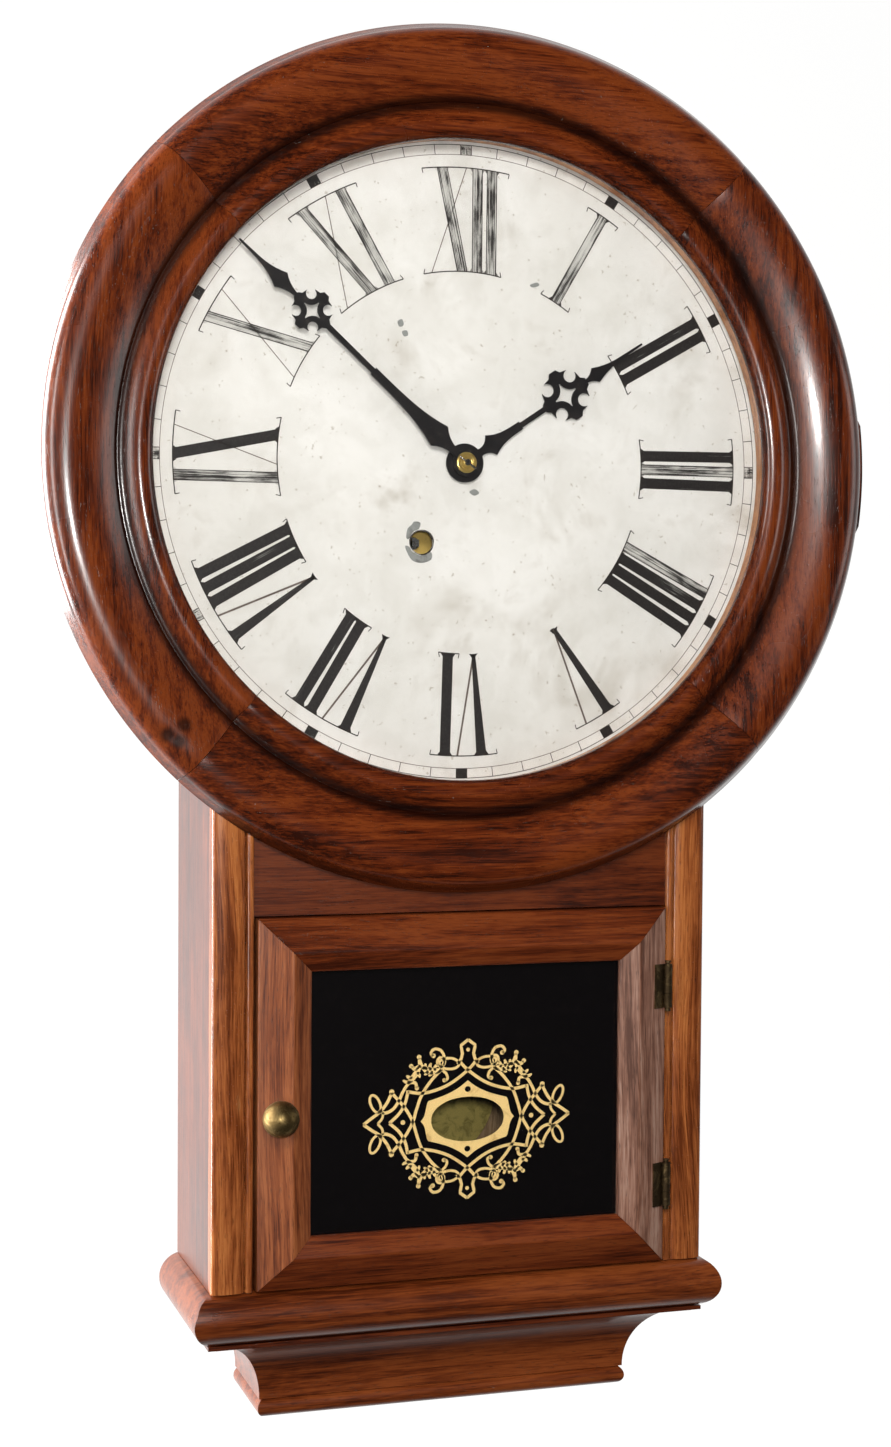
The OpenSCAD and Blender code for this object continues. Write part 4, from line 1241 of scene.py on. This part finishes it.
NUMERALS = (
    Numeral(12, [Stroke((-14.2, -9.3), (-3.9, 1.0), R), hairline(0.3, -16.5),
                 *bars((3.6, 10.8), (R, R), 0.02)], (-21.8, 21.8), (-20.5, 18.0)),
    Numeral(1, bars((-2.4,), (R,)), (-9.0, 9.0), (-8.2, 8.2)),
    Numeral(2, bars((-5.9, 1.2), (F, S)), (-12.6, 12.6), (-10.6, 10.6)),
    Numeral(3, bars((-9.6, -2.4, 4.8), (F, R, F), 0.08), (-16.4, 16.4), (-14.4, 14.4)),
    Numeral(4, bars((-13.2, -6.0, 1.2, 8.4), (R, F, S, S), 0.16), (-20.5, 20.5), (-17.0, 17.0)),
    Numeral(5, [Stroke((-8.4, -3.6), (-1.6, 0.2), S), taper_line(7.2, -0.6, 0.2)],
            (-13.0, 13.0), (-1.0, 1.0)),
    Numeral(6, [Stroke((-12.3, -7.6), (-6.2, -4.8), S), taper_line(2.2, -5.6, -4.9),
                *bars((6.1,), (S,), 0.2)], (-18.0, 16.0), (1.6, 12.0)),
    Numeral(7, [Stroke((-15.6, -10.9), (-9.2, -7.8), S), taper_line(-1.4, -8.6, -7.9),
                *bars((3.0, 10.2), (S, F), 0.16)], (-20.5, 20.0), (-0.5, 15.5)),
    Numeral(8, [Stroke((-19.2, -14.5), (-12.2, -10.8), F), taper_line(-5.0, -11.6, -10.9),
                *bars((-0.6, 6.6, 13.8), (S, F, S), 0.16)], (-24.0, 23.0), (-3.5, 18.5)),
    Numeral(9, [*bars((-12.0,), (R,)), Stroke((-2.3, 2.5), (8.0, 12.9), S),
                hairline(13.4, -3.4)], (-18.5, 20.0), (-18.0, 18.5)),
    Numeral(10, [Stroke((-9.6, -4.8), (4.6, 9.4), R), hairline(7.3, -9.3)],
            (-15.0, 15.0), (-14.0, 14.0)),
    Numeral(11, [Stroke((-14.0, -9.2), (-2.6, 2.2), R), hairline(1.6, -14.6),
                 *bars((7.2,), (R,))], (-19.5, 18.0), (-18.5, 16.5)),
)


@dataclass
class Dial:
    """The printing on the paper dial, and the zinc that shows where the paper has chipped."""

    centre: Vector
    depth: float = 76.15
    outer: float = 140.3
    inner: float = 91.2
    serif: float = 1.5
    hairline: float = 0.42
    track: Point = (146.3, 151.0)
    tick: float = 0.34
    block: float = 2.7
    hole: Point = (-20.7, -38.2)
    rim: float = 5.85

    def point(self, hour: float, across: float, radius: float) -> Point:
        """A point at a sideways offset and a height along the radius of an hour."""
        turn = math.radians(30 * hour)
        c, s = math.cos(turn), math.sin(turn)
        return (radius * s + across * c, radius * c - across * s)

    def numerals(self, inks: dict[Print, Strokes], lines: Strokes, faint: Strokes) -> None:
        """Draws every numeral.

        Args:
            inks: The strokes for each state of the ink.
            lines: The strokes of the outlines and the serifs.
            faint: The strokes of the hairlines.
        """
        for numeral in NUMERALS:
            bent = lambda across, radius, hour=numeral.hour: self.point(hour, across, math.sqrt(
                max(radius * radius - across * across, 1.0)))
            for (left, right), radius, way in ((numeral.outer, self.outer, -1), (numeral.inner, self.inner, 1)):
                span = [left + (right - left) * k / 16 for k in range(17)]
                lines.ribbon([bent(x, radius) for x in span], self.hairline * 1.3)
                for end, turn in ((left, 1), (right, -1)):
                    tip = [bent(end, radius), bent(end + turn * 0.5, radius + way * 2.2)]
                    lines.ribbon(tip, self.hairline)
            for stroke in numeral.strokes:
                low, high = self.inner + 0.2, self.outer - 0.2
                corners = [bent(stroke.inner[0], low), bent(stroke.outer[0], high),
                           bent(stroke.outer[1], high), bent(stroke.inner[1], low)]
                if stroke.thin:
                    faint.ribbon([corners[0], corners[1]], self.hairline * stroke.weight)
                    continue
                inks[stroke.ink].bar(corners)
                for a, b in ((0, 1), (3, 2)):
                    lines.ribbon([corners[a], corners[b]], self.hairline)
                for side, e in ((-1, 0), (1, 1)):
                    for offsets, near, radius, way in ((stroke.inner, low, self.inner, 1),
                                                       (stroke.outer, high, self.outer, -1)):
                        inks[stroke.ink].quad([bent(offsets[e], near),
                                               bent(offsets[e] + side * self.serif, radius),
                                               bent(offsets[e], radius + way * self.serif * 1.4)])

    def minute_track(self, lines: Strokes, faint: Strokes, inks: dict[Print, Strokes]) -> None:
        """Draws the minute track with its circles, its ticks and its blocks.

        Args:
            lines: The strokes of the ticks and the outer circle.
            faint: The strokes of the inner circle.
            inks: The strokes of the blocks.
        """
        low, high = self.track
        around = [(math.sin(math.tau * k / 240), math.cos(math.tau * k / 240)) for k in range(240)]
        faint.ribbon([(x * low, z * low) for x, z in around], 0.3, closed=True)
        lines.ribbon([(x * high, z * high) for x, z in around], self.tick, closed=True)
        worn = {12: R, 3: R, 7: F, 8: R, 9: R, 10: F, 11: F}
        for minute in range(60):
            hour = minute / 5
            if minute % 5:
                lines.ribbon([self.point(hour, 0, low), self.point(hour, 0, high)], self.tick)
                continue
            number = minute // 5 or 12
            block = ((-1, low + 0.1), (-1, high - 0.1), (1, high - 0.1), (1, low + 0.1))
            inks[worn.get(number, S)].bar([self.point(hour, side * self.block, r) for side, r in block])
            for side in (-self.block, self.block):
                lines.ribbon([self.point(hour, side, low), self.point(hour, side, high)], self.tick)

    def chips(self, shop: "Shop") -> None:
        """Makes the bare zinc round the winding hole and the scratches near it."""
        x, z = self.hole
        bare = Strokes(Flat(self.centre, self.depth + 0.02))
        shapes = [
            [(x + u, z + v) for u, v in around]
            for around in (
                [(-7.6, 2.0), (-7.1, 6.1), (-5.1, 8.2), (-3.6, 9.8), (-0.7, 9.2), (-1.5, 6.3), (-4.3, 4.8),
                 (-6.2, 1.6)],
                [(-8.2, -2.0), (-6.0, -2.3), (-4.6, -4.4), (-0.5, -6.2), (4.6, -4.6), (4.8, -8.0), (0.5, -9.8),
                 (-4.1, -9.0), (-6.6, -6.1)],
                [(23.6, 24.6), (26.4, 26.0), (28.6, 24.2), (26.0, 22.9)],
                [(-12.6, 104.0), (-10.4, 105.2), (-9.6, 102.6), (-11.6, 101.6)],
                [(-10.4, 99.4), (-8.0, 100.0), (-7.4, 97.8), (-9.4, 97.2)],
                [(53.4, 124.8), (57.0, 126.2), (58.2, 124.9), (55.2, 123.7)],
            )
        ]
        for shape in shapes:
            bare.quad(curve(shape, 5, closed=True))
        fit(bare.make("bare_zinc_chips", shop.zinc, 0.03), "root", "zinc")

    def grommet(self, shop: "Shop") -> None:
        """Makes the dark worn rim of the winding hole."""
        rim = Strokes(Flat(self.centre, self.depth + 0.02))
        x, z = self.hole
        turns = (math.tau * k / 40 for k in range(40))
        rim.ribbon([(x + self.rim * math.cos(t), z + self.rim * math.sin(t)) for t in turns],
                   lambda share: 0.5 + 0.25 * math.sin(share * 17), closed=True)
        fit(rim.make("winding_hole_rim", shop.line_ink, 0.03), "root", "printing_ink")

    def build(self, shop: "Shop") -> None:
        """Prints the dial.

        Args:
            shop: The finishes.
        """
        flat = Flat(self.centre, self.depth + 0.01)
        inks = {state: Strokes(flat) for state in Print}
        lines, faint = Strokes(Flat(self.centre, self.depth + 0.03)), Strokes(flat)
        self.numerals(inks, lines, faint)
        self.minute_track(lines, faint, inks)
        finishes = {S: shop.solid_ink, F: shop.faded_ink, R: shop.rubbed_ink}
        for state, strokes in inks.items():
            fit(strokes.make(f"{state.value}_printing", finishes[state]), "root", "printing_ink")
        fit(lines.make("printed_outlines", shop.line_ink), "root", "printing_ink")
        fit(faint.make("faint_track_circle", shop.faint_ink), "root", "printing_ink")
        self.chips(shop)
        self.grommet(shop)


# ---- the tablet's gilding -------------------------------------------------------------


@dataclass
class Gilding:
    """A gilt arabesque on the tablet, round an oval that shows the bob.

    One quarter is drawn and mirrored both ways about the ornament's middle.
    """

    centre: Vector
    middle: Point
    depth: float
    line: float = 1.5

    def build(self, shop: "Shop") -> None:
        """Builds the ornament.

        Args:
            shop: The finishes.
        """
        flat = Flat(self.centre, self.depth)
        gold = Strokes(flat)
        mx, mz = self.middle

        def put(points: Sequence[Point], sx: int, sz: int) -> list[Point]:
            """Mirrors points into a quarter."""
            return [(mx + x * sx, mz + z * sz) for x, z in points]

        def taper(most: float) -> Callable[[float], float]:
            """The width of a stroke that is thin at both ends."""
            return lambda t: most * (0.35 + 0.65 * math.sin(math.pi * min(1.0, max(0.0, t))) ** 0.7)

        steady = self.line
        straps: list[tuple[list[Point], Width]] = [
            (curve([(-4.2, 28.0), (0.0, 23.6), (8.0, 17.9), (15.5, 14.8), (23.0, 13.5),
                    (29.8, 14.6)], 6), steady),
            (curve([(29.8, 15.2), (31.0, 9.6), (34.0, 4.4), (38.9, 0.0)], 6), steady),
            (curve([(13.0, 24.6), (18.2, 19.5), (22.8, 13.0), (25.4, 6.2), (27.3, 0.0), (30.6, -6.0),
                    (34.2, -10.4), (37.8, -14.4)], 6), steady),
            (curve([(37.8, 14.4), (40.2, 9.6), (43.6, 5.6), (47.4, 3.0), (51.6, 0.0)], 6), steady),
            (curve([(25.6, 16.3), (26.2, 18.6), (29.4, 18.6), (32.2, 14.8), (34.4, 10.2), (37.2, 6.6),
                    (41.0, 5.0), (44.2, 6.4)], 6), steady),
            (curve([(42.0, 5.4), (42.4, 2.6), (44.6, 0.0)], 5), 1.2),
            ([(0.0, 38.2), (3.5, 35.6), (3.4, 34.6), (2.8, 31.6), (3.4, 29.2), (5.2, 26.6)], steady),
            (curve([(12.5, 26.4), (11.9, 30.2), (13.6, 33.6), (16.8, 34.4), (18.5, 32.6), (17.6, 31.0)], 6), 1.4),
            (curve([(13.2, 24.4), (10.9, 22.4), (10.2, 20.0), (11.6, 18.9)], 6), 1.3),
            (curve([(13.4, 24.0), (17.0, 23.8), (20.2, 24.4), (22.8, 25.9)], 6), taper(3.4)),
            (curve([(21.6, 25.0), (23.6, 27.2), (24.3, 30.4)], 6), taper(2.2)),
            (curve([(23.8, 27.0), (26.4, 25.4), (28.0, 26.6)], 6), taper(2.0)),
            (curve([(23.8, 26.8), (26.2, 22.6), (30.0, 18.4)], 6), taper(2.8)),
        ]
        leaves: list[tuple[Point, Point, float]] = [
            ((16.6, 24.0), (15.4, 27.0), 1.6), ((18.6, 24.2), (18.4, 27.8), 1.6),
            ((20.4, 24.6), (21.2, 27.8), 1.5), ((17.8, 24.0), (19.6, 21.6), 1.5),
            ((20.0, 24.4), (21.8, 22.2), 1.4), ((27.6, 21.2), (30.6, 22.4), 1.6),
            ((28.8, 19.4), (32.4, 20.2), 1.5), ((25.4, 23.8), (24.0, 21.0), 1.4),
        ]
        loops = [(9.4, 27.1, 5.0, 2.6, 0.10), (13.5, 28.0, 1.9, 2.2, 0.0), (45.8, 9.6, 2.2, 4.5, -0.42)]
        balls = [(37.8, 14.9, 1.25), (24.4, 30.9, 1.15), (28.3, 26.8, 1.05), (17.2, 31.2, 1.1), (11.8, 19.2, 1.0),
                 (25.4, 16.0, 1.0)]
        for sx in (-1, 1):
            for sz in (-1, 1):
                for points, width in straps:
                    gold.ribbon(put(points, sx, sz), width)
                for (x0, z0), (x1, z1), most in leaves:
                    bend = ((x0 + x1) / 2 + (z1 - z0) * 0.14, (z0 + z1) / 2 - (x1 - x0) * 0.14)
                    gold.ribbon(put(curve([(x0, z0), bend, (x1, z1)], 7), sx, sz), taper(most))
                for x, z, wide, tall, tilt in loops:
                    c, s = math.cos(tilt), math.sin(tilt)
                    ring = [(x + u * c - v * s, z + u * s + v * c) for u, v in superellipse(wide, tall, 2, 28)]
                    gold.ribbon(put(ring, sx, sz), 1.25, closed=True)
                for x, z, r in balls:
                    gold.disc(mx + x * sx, mz + z * sz, r)
        for sz in (-1, 1):
            gold.disc(mx, mz + 33.4 * sz, 0.95)
        for sx in (-1, 1):
            gold.disc(mx + 32.2 * sx, mz, 1.15)
        fit(gold.make("tablet_strapwork", shop.gold, 0.05), "trunk_door", "gold_leaf")
        self.cartouche(shop, flat)

    def cartouche(self, shop: "Shop", flat: Flat) -> None:
        """Builds the pointed gold cartouche with its oval opening and two dark dots.

        Args:
            shop: The finishes.
            flat: The plane that it lies on.
        """
        mx, mz = self.middle
        smooth = [*curve([(0.0, 18.6), (4.0, 15.6), (9.0, 13.0), (14.0, 11.2), (19.6, 9.6)], 5),
                  *curve([(20.2, 8.6), (20.9, 5.6), (21.7, 2.4), (23.4, 0.0)], 4)]
        outline = [(mx + x, mz + z) for x, z in smooth]
        outline += [(mx + x, mz - z) for x, z in reversed(smooth[:-1])]
        outline += [(mx - x, mz - z) for x, z in smooth[1:]]
        outline += [(mx - x, mz + z) for x, z in reversed(smooth[1:-1])]
        oval = [(mx + x, mz + z) for x, z in superellipse(18.2, 10.7, 2.1, 72)]
        dots = [[(mx + x, mz + s * 14.4 + z) for x, z in superellipse(1.5, 1.4, 2, 18)] for s in (-1, 1)]
        plate = flat.plate("tablet_cartouche", outline, [oval, *dots], shop.gold, 0.05)
        fit(plate, "trunk_door", "gold_leaf")


# ---- the hand's washer ----------------------------------------------------------------


@dataclass
class HandWasher:
    """The dished brass washer on the minute hand and the steel pin that locks it."""

    centre: Vector
    depth: float = 80.7
    radius: float = 5.0
    bore: float = 1.5
    pin_length: float = 10.0
    pin_angle: float = -35.0

    def build(self, shop: "Shop") -> None:
        """Builds the washer and its pin.

        Args:
            shop: The finishes.
        """
        bore, rim, turns = self.bore, self.radius, 56
        section = [(bore, 0.0), (rim, 0.0), (rim, 0.35), (rim - 0.3, 0.6), (rim - 1.1, 0.72), (rim - 1.6, 0.62),
                   (rim - 1.8, 0.9), (3.0, 1.25), (2.5, 1.3), (2.2, 1.12), (2.0, 1.4), (bore, 1.45)]
        points, faces = [], []
        for k in range(turns):
            c, s = math.cos(math.tau * k / turns), math.sin(math.tau * k / turns)
            points += [(self.centre.x + r * c * MM, -(self.depth + h) * MM, self.centre.z + r * s * MM)
                       for r, h in section]
        count = len(section)
        for k in range(turns):
            after = (k + 1) % turns
            here, there = k * count, after * count
            faces += [(here + i, there + i, there + (i + 1) % count, here + (i + 1) % count)
                      for i in range(count)]
        fit(mesh_object("dished_washer", points, faces, shop.bright_brass), "minute_hand", "movement_brass",
            "hand_washer")
        turn = math.radians(self.pin_angle)
        way = Vector((math.cos(turn), 0, math.sin(turn)))
        rise = Vector((-math.sin(turn), 0, math.cos(turn)))
        middle = Vector((self.centre.x, -(self.depth + 2.0) * MM, self.centre.z))
        rings = [(-1.0, 0.2), (-0.94, 0.36), (-0.3, 0.42), (0.3, 0.5), (0.94, 0.58), (1.0, 0.4)]

        def place(station: int, corner: Point) -> Vector:
            """Places a point round the pin."""
            share, r = rings[station]
            return middle + (way * (share * self.pin_length / 2) + rise * (corner[0] * r)
                             + Vector((0, -1, 0)) * (corner[1] * r)) * MM

        pin = Sweep("washer_pin", arc((0, 0), (1, 1), 0, 330, 11), shop.steel).build(len(rings), place)
        fit(pin, "minute_hand", "steel")


# ---- CAD pieces that keep their own shape ---------------------------------------------


def dress(shop: Shop) -> None:
    """Gives every CAD piece that is shown its finish.

    Args:
        shop: The finishes.
    """
    wear = {
        shop.plain_z: "back_board door_stops",
        shop.plain_x: "top_board bottom_board dial_ring",
        shop.case[Grain.Z]: "left_side_board right_side_board",
        shop.case[Grain.X]: "frieze_panel base_fascia",
        shop.lining: "bezel_glazing_ring door_glazing_beads",
        shop.zinc: "dial_pan",
        shop.paper: "dial_paper",
        shop.dial_glass: "bezel_glass",
        shop.black: "minute_hand hour_hand",
        shop.steel: "winding_arbor click mainspring centre_arbor verge",
        shop.bob_brass: "pendulum_bob rating_nut",
        shop.aged_brass: "hanger_plate case_screws bezel_catch_pin bezel_hook door_knob door_latch_blade",
        shop.dark_brass: "bezel_hinges_fixed bezel_hinges_moving door_hinges_fixed door_hinges_moving",
        shop.plate_brass: "front_plate rear_plate movement_pillars suspension_cock hand_washer",
        shop.wheel_brass: "great_wheel second_wheel centre_wheel minute_wheel hour_wheel third_wheel "
                          "escape_wheel",
        shop.rod_birch: "pendulum_rod",
    }
    bodies = {name: body for body, names in frame["record"]["behaviour"]["bodies"].items() for name in names}
    for finish, names in wear.items():
        for name in names.split():
            node = frame["nodes"][name]
            for slot in node.material_slots:
                slot.material = finish
            log.info("%s rides on %s as a CAD piece", name, bodies[name])


# ---- the room -------------------------------------------------------------------------


def white_stage(shop: Shop) -> None:
    """Builds a pale floor that sweeps up into a backdrop far behind the clock."""
    half, profile = 4.6, [(0.35, -1.25), (1.9, -1.25), (2.35, -1.18), (2.68, -0.98), (2.85, -0.6), (2.9, 0.0),
                          (2.9, 3.2)]
    smooth = curve(profile, 8)
    points = [(x, y, z) for x in (-half, half) for y, z in smooth]
    count = len(smooth)
    faces = [(k, k + 1, count + k + 1, count + k) for k in range(count - 1)]
    made = mesh_object("studio_sweep", points, faces, shop.studio)


@dataclass(frozen=True)
class Lamp:
    """A rectangular soft light, in metres and watts."""

    name: str
    at: Spot
    aim: Spot
    size: Point
    power: float
    colour: Colour = (1.0, 0.985, 0.965)
    mirrored: bool = True

    def build(self) -> None:
        """Hangs the light; one that isn't mirrored lights the pieces but shows in none of them."""
        data = bpy.data.lights.new(self.name, "AREA")
        data.shape = "RECTANGLE"
        data.size, data.size_y = self.size
        data.energy = self.power
        data.color = self.colour
        light = bpy.data.objects.new(self.name, data)
        light.location = self.at
        light.visible_glossy = self.mirrored
        light.rotation_euler = (Vector(self.aim) - Vector(self.at)).to_track_quat("-Z", "Y").to_euler()
        bpy.context.scene.collection.objects.link(light)


LAMPS = (
    Lamp("key_window", (-1.9, -1.3, -0.15), (0.0, -0.05, -0.3), (0.30, 1.3), 17),
    Lamp("front_soft", (-0.32, -1.35, 0.30), (0.0, -0.08, -0.3), (0.5, 0.36), 15, (1.0, 0.985, 0.96), False),
    Lamp("eye_flash", (-0.33, -1.22, -0.19), (0.0, -0.08, -0.35), (0.12, 0.08), 6, (1.0, 0.985, 0.96)),
    Lamp("side_glow", (-2.1, 0.55, 0.0), (0.0, 0.0, -0.3), (0.9, 2.2), 200, (1.0, 0.985, 0.985)),
    Lamp("right_window", (1.9, -0.75, -0.05), (0.05, -0.08, -0.3), (0.6, 0.8), 3.5, (1.0, 0.97, 0.95)),
)


def light_room() -> None:
    """Lights the clock: lamps round the viewer, and a world that is dark in front and pale behind."""
    for lamp in LAMPS:
        lamp.build()
    dusk, day, strength = (0.42, (0.025, 0.025, 0.025)), (0.62, (1.0, 1.0, 1.0)), 0.75
    world = bpy.data.worlds.new("pale_room")
    world.use_nodes = True
    sky = Graph(world.node_tree)
    place = sky.node("ShaderNodeTexCoord").outputs["Generated"]
    split = sky.node("ShaderNodeSeparateXYZ", inputs={0: place})
    share = sky.node("ShaderNodeMath", {"operation": "MULTIPLY_ADD"}, {0: split.outputs[1], 1: 0.5, 2: 0.5})
    shade = sky.node("ShaderNodeValToRGB", {"stops": (dusk, day)}, {0: share.outputs[0]})
    glow = sky.node("ShaderNodeBackground", inputs={"Color": shade.outputs[0], "Strength": strength})
    sky.node("ShaderNodeOutputWorld", inputs={"Surface": glow.outputs[0]})
    bpy.context.scene.world = world


def place_camera() -> None:
    """Sets the camera left of the clock and a little below the dial's middle."""
    data = bpy.data.cameras.new("eye")
    data.lens, data.sensor_width = 58.89, 36.0
    data.shift_x, data.shift_y = -0.04516, 0.00929
    data.clip_start, data.clip_end = 0.05, 30
    camera = bpy.data.objects.new("eye", data)
    camera.location = (-0.337943, -1.162418, -0.260857)
    camera.rotation_euler = [math.radians(turn) for turn in (87.881, -0.454, -18.455)]
    bpy.context.scene.collection.objects.link(camera)
    bpy.context.scene.camera = camera


def main() -> None:
    """Builds the clock's visible pieces, its room and its lights."""
    logging.basicConfig(level=logging.INFO, format="%(name)s: %(message)s")
    low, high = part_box("bezel_glass")
    centre = (low + high) / 2
    centre.y = 0.0
    bezel = Bezel(centre)
    dents = tuple((x * MM + centre.x, z * MM + centre.z) for x, z, _, _ in bezel.chips)
    shop = Shop(centre, bezel.quirk[0] * MM, dents)
    dress(shop)
    bezel.build(shop)
    for side in (-1, 1):
        Column(side, centre).build(shop)
    Base(centre).build(shop)
    TrunkDoor(centre).build(shop)
    Dial(centre).build(shop)
    HandWasher(centre).build(shop)
    white_stage(shop)
    light_room()
    place_camera()
    scene = bpy.context.scene
    scene.view_settings.view_transform = "Standard"
    scene.view_settings.look = "None"


if __name__ == "__main__":
    main()
